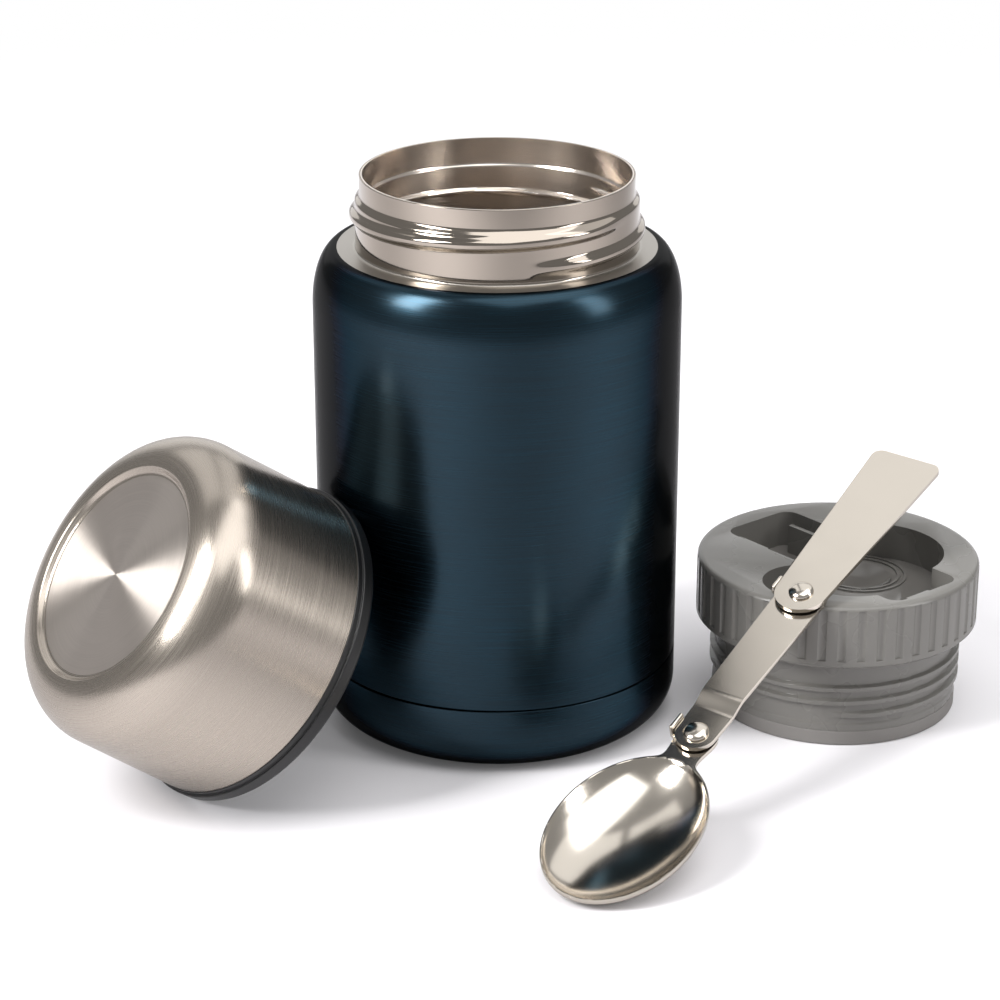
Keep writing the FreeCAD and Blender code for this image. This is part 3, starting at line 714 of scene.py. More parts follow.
# Bare steel ring between the lacquer and the neck, left with the satin of its turning
SATIN_RING = MetalFinish(
    "satin_turned_ring", "#a9a49d", roughness=0.34, roughness_spread=0.03,
    brushing=Brushing(spacing=0.3, length=40.0, depth=0.002, anisotropy=0.4))
# Stainless steel inside the vessel: turned, so faint rings run round it
TURNED_INSIDE = MetalFinish(
    "turned_steel_inside", "#d8cfc6", roughness=0.22, roughness_spread=0.03, colour_spread=0.03,
    brushing=Brushing(spacing=0.35, length=50.0, depth=0.0012, anisotropy=0.4))
# Cup side: brushed on a belt, which stretches highlights into upright bands
BRUSHED_CUP = MetalFinish(
    "belt_brushed_steel", "#aea59b", roughness=0.27, roughness_spread=0.05,
    brushing=Brushing(spacing=0.28, length=40.0, depth=0.002, anisotropy=0.72))
# Cup end: spun on a lathe, so its highlights open like fans round the centre
SPUN_DISC = MetalFinish(
    "spun_steel_disc", "#cfc6be", roughness=0.34, roughness_spread=0.04,
    brushing=Brushing(spacing=0.35, length=60.0, depth=0.002, anisotropy=0.97))
# Spoon: stamped stainless steel, polished on a wheel until it mirrors
MIRROR_SPOON = MetalFinish("mirror_polished_steel", "#d2cabf", roughness=0.16, roughness_spread=0.03)
# Hidden metals of the vacuum space: dull drawn steel, copper foil and a solder bead
DRAWN_STEEL = MetalFinish("drawn_steel", "#b0b0ae", roughness=0.4, roughness_spread=0.05)
COPPER_FOIL = MetalFinish("copper_foil", "#c98f6c", roughness=0.3, roughness_spread=0.05)
SOLDER = MetalFinish("solder", "#a8a8a2", roughness=0.5, roughness_spread=0.05)
# Polypropylene of the stopper, with a silky moulded surface
GREY_POLYPROPYLENE = PlasticFinish("grey_polypropylene", "#716f6b", roughness=0.27)
# Floor of the spoon's recess, where the mould was polished: glossier, and a lighter grey than the cap as a
# painted sheen
GLOSSY_POLYPROPYLENE_PAINTED_SHEEN = PlasticFinish(
    "polished_grey_polypropylene_painted_sheen", "#7c7975", roughness=0.14, grain_mm=6.0, grain_depth_mm=0.04)
# Black polypropylene of the cup's lining: satin, so its rim catches a thin line of light
BLACK_POLYPROPYLENE = PlasticFinish("black_polypropylene", "#0d0d0e", roughness=0.34)
# Silicone seal: matt and soft
GREY_SILICONE = PlasticFinish("grey_silicone", "#7c7976", roughness=0.55, grain_mm=0.5, colour_spread=0.03)
# Foam inside the plug, hidden: chalky with open cells
WHITE_FOAM = PlasticFinish("white_foam", "#e8e6e0", roughness=0.8, grain_mm=0.8, grain_depth_mm=0.05)


# Threads

class Side(Enum):
    """Which way a thread ridge stands; the value is the sign of its height."""

    OUTWARDS = 1
    INWARDS = -1


@dataclass(frozen=True)
class Thread:
    """One right-handed thread ridge, sizes in millimetres and degrees.

    The limits are the radii between which a point belongs to the wall that carries the ridge.
    """

    start_height: float
    start_angle: float
    pitch: float
    turns: float
    width: float
    flank: float
    height: float
    side: Side
    inner_limit: float
    outer_limit: float
    fade: float = 28.0

    def shape(self, obj: bpy.types.Object, name: str, material: bpy.types.Material,
              second: bpy.types.Material | None = None, border: float = FAR_OUT) -> bpy.types.Object:
        """Raise the ridge on a turned piece with a node tree.

        Args:
            obj: the turned piece.
            name: name of the finished piece.
            material: finish of the piece.
            second: finish of what lies outside the border radius.
            border: that radius, in millimetres.

        Returns:
            The threaded piece as a plain mesh.
        """
        inputs = {
            "Start Height": self.start_height * MM, "Start Angle": math.radians(self.start_angle),
            "Pitch": self.pitch * MM, "Turns": self.turns, "Ridge Width": self.width * MM,
            "Flank": self.flank * MM, "Ridge Height": self.height * MM * self.side.value,
            "Inner Limit": self.inner_limit * MM, "Outer Limit": self.outer_limit * MM,
            "Fade Angle": math.radians(self.fade), "Finish Border": border * MM}
        return grown(obj, name, self._tree(inputs, material, second), inputs)

    def _tree(self, inputs: dict[str, float], material: bpy.types.Material,
              second: bpy.types.Material | None) -> bpy.types.NodeTree:
        """Build the node tree, which moves each point of the wall by its distance from the helix.

        Args:
            inputs: the tree's sizes by name.
            material: finish of the piece.
            second: finish of what lies outside the border, if any.

        Returns:
            The tree.
        """
        tree = geometry_tree("thread_ridge", inputs)
        given = add_node(tree, "NodeGroupInput").outputs
        position = add_node(tree, "GeometryNodeInputPosition").outputs[0]
        split = add_node(tree, "ShaderNodeSeparateXYZ", {0: position}).outputs
        level = add_node(tree, "ShaderNodeCombineXYZ", {0: split[0], 1: split[1]})
        known: dict[str, object] = {name: given[name] for name in inputs}
        known |= {"x": split[0], "y": split[1], "z": split[2], "outwards": level.outputs[0],
                  "zero": 0.0, "half": 0.5, "full turn": FULL_TURN}
        work_out(tree, known, [
            ("x squared", MATH, "MULTIPLY", "x", "x"),
            ("y squared", MATH, "MULTIPLY", "y", "y"),
            ("radius squared", MATH, "ADD", "x squared", "y squared"),
            ("radius", MATH, "SQRT", "radius squared"),
            ("angle", MATH, "ARCTAN2", "y", "x"),
            ("past start", MATH, "SUBTRACT", "angle", "Start Angle"),
            ("turned", MATH, "FLOORED_MODULO", "past start", "full turn"),
            ("part turn", MATH, "DIVIDE", "turned", "full turn"),
            ("above start", MATH, "SUBTRACT", "z", "Start Height"),
            ("laps up", MATH, "DIVIDE", "above start", "Pitch"),
            ("laps left", MATH, "SUBTRACT", "laps up", "part turn"),
            ("near lap", MATH, "ROUND", "laps left"),
            ("lap", MATH, "MAXIMUM", "near lap", "zero"),
            ("lap angle", MATH, "MULTIPLY", "lap", "full turn"),
            ("travel", MATH, "ADD", "turned", "lap angle"),
            ("whole travel", MATH, "MULTIPLY", "Turns", "full turn"),
            ("travel left", MATH, "SUBTRACT", "whole travel", "travel"),
            ("near end", MATH, "MINIMUM", "travel", "travel left"),
            ("end part", MATH, "DIVIDE", "near end", "Fade Angle"),
            ("turns made", MATH, "DIVIDE", "travel", "full turn"),
            ("climb", MATH, "MULTIPLY", "Pitch", "turns made"),
            ("crest", MATH, "ADD", "Start Height", "climb"),
            ("from crest", MATH, "SUBTRACT", "z", "crest"),
            ("away", MATH, "ABSOLUTE", "from crest"),
            ("half width", MATH, "MULTIPLY", "Ridge Width", "half"),
            ("inside edge", MATH, "SUBTRACT", "half width", "away"),
            ("flank part", MATH, "DIVIDE", "inside edge", "Flank")])
        for result, name in (("end fade", "end part"), ("flank rise", "flank part")):
            eased = add_node(tree, "ShaderNodeMapRange", {"Value": known[name]},
                             interpolation_type="SMOOTHSTEP")
            known[result] = eased.outputs[0]
        work_out(tree, known, [
            ("ridge shape", MATH, "MULTIPLY", "end fade", "flank rise"),
            ("rise", MATH, "MULTIPLY", "Ridge Height", "ridge shape"),
            ("direction", VECTOR_MATH, "NORMALIZE", "outwards"),
            ("past inner", COMPARE, "GREATER_THAN", "radius", "Inner Limit"),
            ("before outer", COMPARE, "LESS_THAN", "radius", "Outer Limit"),
            ("on wall", BOOLEAN, "AND", "past inner", "before outer"),
            ("outside", COMPARE, "GREATER_THAN", "radius", "Finish Border")])
        offset = add_node(tree, VECTOR_MATH, {0: known["direction"], "Scale": known["rise"]},
                          operation="SCALE")
        moved = add_node(tree, "GeometryNodeSetPosition", {
            "Geometry": given["Geometry"], "Selection": known["on wall"], "Offset": offset.outputs[0]})
        real = add_node(tree, "GeometryNodeRealizeInstances", {0: moved.outputs[0]})
        finish = add_node(tree, "GeometryNodeSetMaterial", {
            "Geometry": real.outputs[0], "Material": material})
        if second is not None:
            finish = add_node(tree, "GeometryNodeSetMaterial", {
                "Geometry": finish.outputs[0], "Selection": known["outside"], "Material": second})
        add_node(tree, "NodeGroupOutput", {0: finish.outputs[0]})
        return tree


# Jar

@dataclass
class Jar:
    """Vacuum jar: lacquered shell with a bare neck, steel vessel and base cover.

    Sizes are in millimetres and angles in degrees.
    """

    radius: float = 50.0
    height: float = 155.0
    sheet: float = 0.6
    seam_low: float = 19.5
    seam_high: float = 20.0
    seam_drop: float = 0.3
    seam_crease: float = 0.1
    seam_round: float = 0.25
    skirt_radius: float = 49.4
    skirt_bottom: float = 12.0
    side_top_drop: float = 6.0
    shoulder_top: float = 135.0
    shoulder_rise: float = 15.4
    shoulder_run: float = 6.4
    shoulder_sweep: float = 84.0
    shoulder_rest: float = 0.4
    neck_radius: float = 38.2
    neck_root_round: float = 1.0
    neck_step: float = 148.3
    neck_step_rise: float = 1.3
    neck_step_round: float = 0.5
    neck_back_drop: float = 0.5
    neck_thread_start: float = 0.8
    neck_thread_rest: float = 0.2
    neck_point_step: float = 0.35
    lip_radius: float = 36.95
    lip_sheet: float = 0.4
    lip_round: float = 0.16
    lip_back_rise: float = 1.0
    lip_gap: float = 0.05
    bare_radius: float = 41.2
    ring_margin: float = 0.2
    ring_level: float = 0.3
    vessel_sheet: float = 0.4
    vessel_neck: float = 35.6
    vessel_step_drop: float = 0.6
    vessel_step_round: float = 0.4
    vessel_neck_round: float = 0.3
    vessel_point_step: float = 0.25
    vessel_thread_low: float = 132.5
    vessel_thread_drop: float = 1.0
    seat_high: float = 131.5
    seat_low: float = 129.3
    seat_radius: float = 33.0
    seat_outer_round: float = 0.5
    seat_inner_round: float = 0.8
    throat: float = 126.5
    throat_round: float = 1.2
    vessel_radius: float = 44.5
    vessel_shoulder: float = 118.0
    vessel_shoulder_round: float = 3.0
    vessel_back_rise: float = 0.3
    vessel_floor: float = 16.0
    vessel_corner: float = 14.0
    vessel_side_rest: float = 2.0
    base_sheet: float = 0.5
    base_corner: float = 11.0
    base_round: float = 0.2
    base_side_rest: float = 3.0
    base_floor_rest: float = 1.0
    groove_inner: float = 22.0
    groove_outer: float = 35.0
    groove_slope: float = 1.5
    groove_depth: float = 1.2
    groove_round: float = 0.5
    groove_back: float = 0.3
    hidden_sweep: float = -85.0
    neck_thread: Thread = Thread(
        start_height=138.9, start_angle=-80.0, pitch=7.5, turns=1.15, width=4.7, flank=1.9, height=1.5,
        side=Side.OUTWARDS, inner_limit=37.0, outer_limit=38.6)
    vessel_thread: Thread = Thread(
        start_height=136.2, start_angle=119.0, pitch=4.0, turns=1.8, width=2.1, flank=0.8, height=1.1,
        side=Side.INWARDS, inner_limit=35.2, outer_limit=36.2, fade=14.0)

    def build(self) -> list[bpy.types.Object]:
        """Build the jar's visible pieces."""
        lacquer = BLUE_LACQUER.material()
        return [self.shell(lacquer), self.vessel(), self.base(lacquer)]

    def shell(self, lacquer: bpy.types.Material) -> bpy.types.Object:
        """Build the outer shell with its rolled neck thread.

        Args:
            lacquer: finish of the body.

        Returns:
            The finished shell.
        """
        s, top, skirt = self.sheet, self.shoulder_top, self.skirt_radius
        run, rise, sweep = self.shoulder_run, self.shoulder_rise, self.shoulder_sweep
        neck, step, step_round = self.neck_radius, self.neck_step, self.neck_step_round
        lip, lip_in, soft = self.lip_radius, self.lip_radius - self.lip_sheet, self.lip_round
        centre = (self.radius - run, top - rise)
        profile = rounded([
            (skirt, self.skirt_bottom, 0), (skirt, self.seam_high - self.seam_drop, self.seam_crease),
            (self.radius, self.seam_high, self.seam_round),
            (self.radius, centre[1] - self.side_top_drop, 0)])
        profile += arc(centre, run, rise, 0, sweep, steps=28)
        profile += rounded([
            (centre[0] - self.shoulder_rest, top, 0), (neck, top, self.neck_root_round),
            (neck, step, step_round), (lip, step + self.neck_step_rise, step_round),
            (lip, self.height, soft), (lip_in, self.height, soft), (lip_in, step + self.lip_back_rise, 0)])
        profile += [(neck - s, step - self.neck_back_drop), (neck - s, top - s), (centre[0], top - s)]
        profile += arc(centre, run - s, rise - s, sweep, 0, steps=12)
        profile += [
            (self.radius - s, self.seam_high + s), (skirt - s, self.seam_high),
            (skirt - s, self.skirt_bottom)]
        low, high = top + self.neck_thread_start, step + self.neck_thread_rest
        profile = densified(profile, low, high, self.neck_point_step)
        turned = lathe("outer_shell_turned", profile, segments=288)
        piece = self.neck_thread.shape(
            turned, "shell_with_neck", POLISHED_NECK.material(), lacquer, self.bare_radius)

        def on_ring(middle: Vector, _normal: Vector) -> bool:
            """Pick the level ring between the neck and the lacquer."""
            bare = neck + self.ring_margin < math.hypot(middle.x, middle.y) < self.bare_radius
            return bare and abs(middle.z - top) < self.ring_level

        dress_part(piece, SATIN_RING.material(), on_ring)
        return finished(piece, "jar", "outer_shell")

    def vessel(self) -> bpy.types.Object:
        """Build the food vessel with its inside thread and sealing ledge.

        Returns:
            The finished vessel.
        """
        s, side, turn = self.vessel_sheet, self.vessel_radius, self.vessel_corner
        lip = self.lip_radius - 2 * self.lip_sheet - self.lip_gap
        step = self.neck_step - self.sheet
        neck, seat, floor = self.vessel_neck, self.seat_radius, self.vessel_floor
        corner = (side - turn, floor + turn)
        profile = rounded([
            (lip, self.height, 0), (lip, step, self.vessel_step_round),
            (neck, step - self.vessel_step_drop, self.vessel_neck_round),
            (neck, self.seat_high, self.seat_outer_round), (seat, self.seat_low, self.seat_inner_round),
            (seat, self.throat, self.throat_round),
            (side, self.vessel_shoulder, self.vessel_shoulder_round),
            (side, corner[1] + self.vessel_side_rest, 0)])
        profile += arc(corner, turn, turn, 0, -90, steps=20)
        profile += [(0.0, floor), (0.0, floor - s), (corner[0], floor - s)]
        profile += arc(corner, turn + s, turn + s, self.hidden_sweep, 0, steps=10)
        profile += [
            (side + s, self.vessel_shoulder + self.vessel_back_rise), (seat + s, self.throat),
            (seat + s, self.seat_low - s), (neck + s, self.seat_high - s), (neck + s, step - 2 * s),
            (lip + s, step - s), (lip + s, self.height)]
        low, high = self.vessel_thread_low, step - self.vessel_thread_drop
        profile = densified(profile, low, high, self.vessel_point_step)
        turned = lathe("inner_liner_turned", profile, segments=256)
        piece = self.vessel_thread.shape(turned, "food_vessel", TURNED_INSIDE.material())
        return finished(piece, "jar", "inner_liner")

    def base(self, lacquer: bpy.types.Material) -> bpy.types.Object:
        """Build the lacquered base cover below the seam.

        Args:
            lacquer: its finish.

        Returns:
            The finished base cover.
        """
        s, c, depth, soft = self.base_sheet, self.base_corner, self.groove_depth, self.groove_round
        low, high, slope = self.groove_inner, self.groove_outer, self.groove_slope
        back_low, back_high = low - self.groove_back, high + self.groove_back
        centre = (self.radius - c, c)
        profile = rounded([
            (self.radius - s, self.seam_low, 0), (self.radius, self.seam_low, self.base_round),
            (self.radius, c + self.base_side_rest, 0)])
        profile += arc(centre, c, c, 0, -90, steps=24)
        profile += rounded([
            (centre[0] - self.base_floor_rest, 0.0, 0), (high, 0.0, soft), (high - slope, depth, soft),
            (low + slope, depth, soft), (low, 0.0, soft), (0.0, 0.0, 0)])
        profile += [
            (0.0, s), (back_low, s), (back_low + slope, depth + s), (back_high - slope, depth + s),
            (back_high, s), (centre[0], s)]
        profile += arc(centre, c - s, c - s, self.hidden_sweep, 0, steps=10)
        piece = lathe("base_band", profile, segments=256)
        dress(piece, lacquer)
        return finished(piece, "jar", "base_cover")


# Cup lid

@dataclass
class CupLid:
    """Steel cup with a black plastic lining, lying on its rim against the jar.

    Sizes are in millimetres and angles in degrees.
    """

    azimuth: float = 212.4
    elevation: float = 36.3
    jar_radius: float = 50.0
    gap: float = 0.3
    rim_radius: float = 44.6
    edge_cut: float = 0.8
    rim_depth: float = 5.5
    rim_band: float = 1.6
    rim_inset: float = 0.6
    rim_under_round: float = 0.3
    rim_round: float = 0.4
    rim_crease: float = 0.15
    lining_crease: float = 0.2
    mouth_radius: float = 43.7
    side_radius: float = 42.9
    side_end: float = 38.2
    top_radius: float = 30.6
    top_sweep: float = 86.0
    height: float = 51.6
    disc_radius: float = 28.5
    disc_middle: float = 18.0
    disc_drop: float = 1.5
    disc_slope: float = 1.3
    disc_back_slope: float = 1.0
    disc_lip_round: float = 0.9
    disc_foot_round: float = 0.7
    disc_margin: float = 0.6
    disc_level: float = 0.2
    sheet: float = 0.6
    lining_gap: float = 0.85
    lining_wall: float = 1.6
    lining_shoulder: float = 9.0
    lining_round: float = 2.0
    lining_thin: float = 0.6
    bore: float = 40.15
    bore_start: float = 0.3
    floor_top: float = 45.6
    thread_low: float = 0.5
    thread_high: float = 14.0
    point_step: float = 0.4
    thread: Thread = Thread(
        start_height=3.2, start_angle=0.0, pitch=7.5, turns=1.1, width=3.8, flank=1.3, height=1.55,
        side=Side.INWARDS, inner_limit=39.5, outer_limit=40.8)

    def place(self) -> Matrix:
        """Work out where the cup lies.

        Returns:
            The transform from the cup's own axis to its place on floor and jar.
        """
        e = math.radians(self.elevation)
        a = math.radians(self.azimuth)
        cut = self.rim_radius - self.edge_cut
        low = max(cut * math.cos(e), self.rim_radius * math.cos(e) - self.edge_cut * math.sin(e))
        lean = max(cut * math.sin(e), self.rim_radius * math.sin(e) - self.edge_cut * math.cos(e))
        out = self.jar_radius + self.gap + lean
        move = shift(out * math.cos(a), out * math.sin(a), low)
        return move @ Matrix.Rotation(a, 4, "Z") @ Matrix.Rotation(QUARTER_TURN - e, 4, "Y")

    def build(self) -> list[bpy.types.Object]:
        """Build the cup's two pieces."""
        return [self.shell(), self.lining()]

    def shell(self) -> bpy.types.Object:
        """Build the brushed steel cup.

        Returns:
            The finished cup.
        """
        s, h, disc = self.sheet, self.height, self.disc_radius
        level = h - self.disc_drop
        centre = (self.top_radius, self.side_end)
        run, rise = self.side_radius - self.top_radius, h - self.side_end
        profile: Profile = [(self.mouth_radius, self.rim_depth)]
        profile += arc(centre, run, rise, 0, self.top_sweep, steps=26)
        profile += rounded([
            (self.top_radius, h, 0), (disc + self.disc_slope, h, self.disc_lip_round),
            (disc, level, self.disc_foot_round), (self.disc_middle, level, 0), (0.0, level, 0)])
        profile += [
            (0.0, level - s), (disc, level - s), (disc + self.disc_back_slope, h - s),
            (self.top_radius, h - s)]
        profile += arc(centre, run - s, rise - s, self.top_sweep, 0, steps=12)
        profile.append((self.mouth_radius - s, self.rim_depth))
        piece = lathe("cup_body", profile, segments=288)
        dress(piece, BRUSHED_CUP.material())

        def on_disc(middle: Vector, _normal: Vector) -> bool:
            """Pick the sunk disc of the closed end."""
            inwards = math.hypot(middle.x, middle.y) < disc - self.disc_margin
            return inwards and middle.z > level - self.disc_level

        dress_part(piece, SPUN_DISC.material(), on_disc)
        return finished(placed(piece, self.place()), "cup", "cup_shell")

    def lining(self) -> bpy.types.Object:
        """Build the black lining with its inside thread and stepped rim.

        Returns:
            The finished lining.
        """
        rim, depth, top = self.rim_radius, self.rim_depth, self.floor_top
        outer = self.side_radius - self.sheet - self.lining_gap
        shoulder, soft, thin = self.lining_shoulder, self.lining_round, self.lining_thin
        band, inset, under = depth - self.rim_band, rim - self.rim_inset, top - self.lining_wall
        profile = rounded([
            (self.bore, 0.0, 0), (rim - self.edge_cut, 0.0, self.rim_under_round),
            (rim, self.edge_cut, self.rim_round), (rim, band, self.rim_round),
            (inset, band, self.rim_crease), (inset, depth, self.lining_crease),
            (outer, depth, self.lining_crease),
            (outer, top - shoulder, soft), (outer - shoulder, top, soft), (0.0, top, 0), (0.0, under, 0),
            (outer - shoulder - thin, under, soft), (self.bore, top - shoulder - thin, soft),
            (self.bore, self.bore_start, 0)])
        profile = densified(profile, self.thread_low, self.thread_high, self.point_step)
        turned = lathe("cup_lining_turned", profile, segments=224)
        piece = self.thread.shape(turned, "cup_lining", BLACK_POLYPROPYLENE.material())
        return finished(placed(piece, self.place()), "cup", "cup_liner")


# Stopper

@dataclass
class Stopper:
    """Grey screw stopper: fluted cap with the spoon's recess, threaded plug, gasket and base.

    Sizes are in millimetres and angles in degrees.
    """

    cap_solid: bpy.types.Object
    x: float = 96.0
    y: float = 4.0
    cap_round: float = 0.45
    cap_sharp_angle: float = 40.0
    cap_shade_angle: float = 45.0
    flat_angle: float = 1.0
    gloss_start: float = 1.0
    gloss_rest: float = 0.7
    gloss_facing: float = 0.3
    plug_radius: float = 34.1
    plug_bore: float = 31.7
    plug_top: float = 25.4
    plug_ceiling: float = 2.2
    recess_floor: float = 33.0
    flange_radius: float = 34.35
    flange_top: float = 6.2
    flange_slope: float = 0.5
    flange_under_round: float = 0.15
    flange_round: float = 0.3
    plug_round: float = 0.2
    thread_low: float = 6.8
    thread_high: float = 20.0
    point_step: float = 0.16
    gasket_radius: float = 34.5
    gasket_bore: float = 32.7
    gasket_height: float = 4.3
    gasket_lift: float = 0.1
    gasket_round: float = 1.3
    gasket_top_round: float = 0.35
    base_radius: float = 33.3
    base_flange: float = 0.8
    base_round: float = 0.2
    spigot_gap: float = 0.15
    spigot_height: float = 2.0
    bead_centre: tuple[float, float] = (4.85, 8.96)
    bead_ring: float = 11.57
    bead_level: float = 33.1
    bead_radius: float = 0.45
    bead_count: int = 30
    bead_start: float = 240.0
    bead_sweep: float = 98.0
    thread: Thread = Thread(
        start_height=9.1, start_angle=-100.0, pitch=4.0, turns=2.3, width=2.2, flank=0.55, height=1.2,
        side=Side.OUTWARDS, inner_limit=33.8, outer_limit=34.6, fade=20.0)

    def build(self) -> list[bpy.types.Object]:
        """Build the stopper's pieces."""
        grey = GREY_POLYPROPYLENE.material()
        return [self.cap(grey), self.plug(grey), self.gasket(), self.base(grey), self.beads(grey)]

    def stand(self, piece: bpy.types.Object, node: str | None = None) -> bpy.types.Object:
        """Put a piece from the stopper's own axis to where it stands, and hand it over."""
        return finished(placed(piece, shift(self.x, self.y)), "stopper", node)

    def cap(self, grey: bpy.types.Material) -> bpy.types.Object:
        """Soften the edges of the cap's solid as its mould would.

        Args:
            grey: finish of the cap.

        Returns:
            The finished cap.
        """
        bm = bmesh.new()
        bm.from_mesh(self.cap_solid.data)
        bmesh.ops.remove_doubles(bm, verts=bm.verts, dist=SLIVER)
        flat = math.radians(self.flat_angle)
        bmesh.ops.dissolve_limit(bm, angle_limit=flat, verts=bm.verts, edges=bm.edges)
        piece = mesh_object("stopper_top_sharp", mesh_of(bm, "stopper_top"))
        bevel(piece, self.cap_round, self.cap_sharp_angle)
        piece = baked(piece, "stopper_top")
        shade(piece.data, self.cap_shade_angle)
        dress(piece, grey)
        low, high = self.plug_top + self.gloss_start, self.recess_floor + self.gloss_rest

        def on_recess_floor(middle: Vector, normal: Vector) -> bool:
            """Pick the faces that look up from the recess."""
            return low < middle.z < high and normal.z > self.gloss_facing

        # The recess floor's upward faces get the glossy finish, whose lighter grey is a painted sheen
        dress_part(piece, GLOSSY_POLYPROPYLENE_PAINTED_SHEEN.material(), on_recess_floor)
        return finished(piece, "stopper", "stopper_cap")

    def plug(self, grey: bpy.types.Material) -> bpy.types.Object:
        """Build the threaded plug.

        Args:
            grey: its finish.

        Returns:
            The finished plug.
        """
        bore, wide, under = self.plug_bore, self.flange_radius, self.plug_top - self.plug_ceiling
        profile = rounded([
            (bore, self.base_flange, 0), (self.gasket_bore, self.base_flange, 0),
            (self.gasket_bore, self.gasket_height, 0), (wide, self.gasket_height, self.flange_under_round),
            (wide, self.flange_top, self.flange_round),
            (self.plug_radius, self.flange_top + self.flange_slope, self.plug_round),
            (self.plug_radius, self.plug_top, 0), (0.0, self.plug_top, 0), (0.0, under, 0),
            (bore, under, 0)])
        profile = densified(profile, self.thread_low, self.thread_high, self.point_step)
        piece = self.thread.shape(lathe("plug_turned", profile, segments=224), "stopper_screw", grey)
        return self.stand(piece, "stopper_plug")

    def gasket(self) -> bpy.types.Object:
        """Build the silicone ring at the plug's end.

        Returns:
            The finished ring.
        """
        profile = rounded([
            (self.base_radius, self.gasket_lift, 0),
            (self.gasket_radius, self.gasket_lift, self.gasket_round),
            (self.gasket_radius, self.gasket_height, self.gasket_top_round),
            (self.gasket_bore, self.gasket_height, 0), (self.gasket_bore, self.base_flange, 0),
            (self.base_radius, self.base_flange, 0)])
        piece = lathe("sealing_ring", profile, segments=192)
        dress(piece, GREY_SILICONE.material())
        return self.stand(piece, "stopper_gasket")

    def base(self, grey: bpy.types.Material) -> bpy.types.Object:
        """Build the disc that closes the plug.

        Args:
            grey: its finish.

        Returns:
            The finished disc.
        """
        spigot, flange = self.plug_bore - self.spigot_gap, self.base_flange
        top = flange + self.spigot_height
        profile = rounded([
            (0.0, 0.0, 0), (self.base_radius, 0.0, self.base_round), (self.base_radius, flange, 0),
            (spigot, flange, 0), (spigot, top, 0), (0.0, top, 0)])
        piece = lathe("plug_floor", profile, segments=128, closed=False)
        dress(piece, grey)
        return self.stand(piece, "stopper_base")

    def beads(self, grey: bpy.types.Material) -> bpy.types.Object:
        """Set a row of small beads round the dish in the recess, with a node tree.

        Args:
            grey: their finish.

        Returns:
            The finished row.
        """
        inputs = {
            "Ring Radius": self.bead_ring * MM, "Bead Radius": self.bead_radius * MM,
            "Bead Count": self.bead_count, "Start Angle": math.radians(self.bead_start),
            "Sweep Angle": math.radians(self.bead_sweep)}
        tree = geometry_tree("bead_row", inputs)
        given = add_node(tree, "NodeGroupInput").outputs
        ring = add_node(tree, "GeometryNodeCurveArc", {
            "Resolution": given["Bead Count"], "Radius": given["Ring Radius"],
            "Start Angle": given["Start Angle"], "Sweep Angle": given["Sweep Angle"]}, mode="RADIUS")
        bead = add_node(tree, "GeometryNodeMeshUVSphere", {
            "Segments": 12, "Rings": 8, "Radius": given["Bead Radius"]})
        row = add_node(tree, "GeometryNodeInstanceOnPoints", {
            "Points": ring.outputs[0], "Instance": bead.outputs[0]})
        real = add_node(tree, "GeometryNodeRealizeInstances", {0: row.outputs[0]})
        finish = add_node(tree, "GeometryNodeSetMaterial", {"Geometry": real.outputs[0], "Material": grey})
        add_node(tree, "NodeGroupOutput", {0: finish.outputs[0]})
        carrier = mesh_object("bead_carrier", bpy.data.meshes.new("bead_carrier"))
        piece = grown(carrier, "recess_beads", tree, inputs)
        return self.stand(placed(piece, shift(*self.bead_centre, self.bead_level)))


# Folding spoon

@dataclass(frozen=True)
class StopTab:
    """Tab bent up at a plate's side with the foot that joins it, in millimetres from the rivet."""

    start: float
    end: float
    inner: float
    outer: float
    foot_inner: float
    foot_outer: float
    tab_round: float = 0.58
    foot_round: float = 0.2


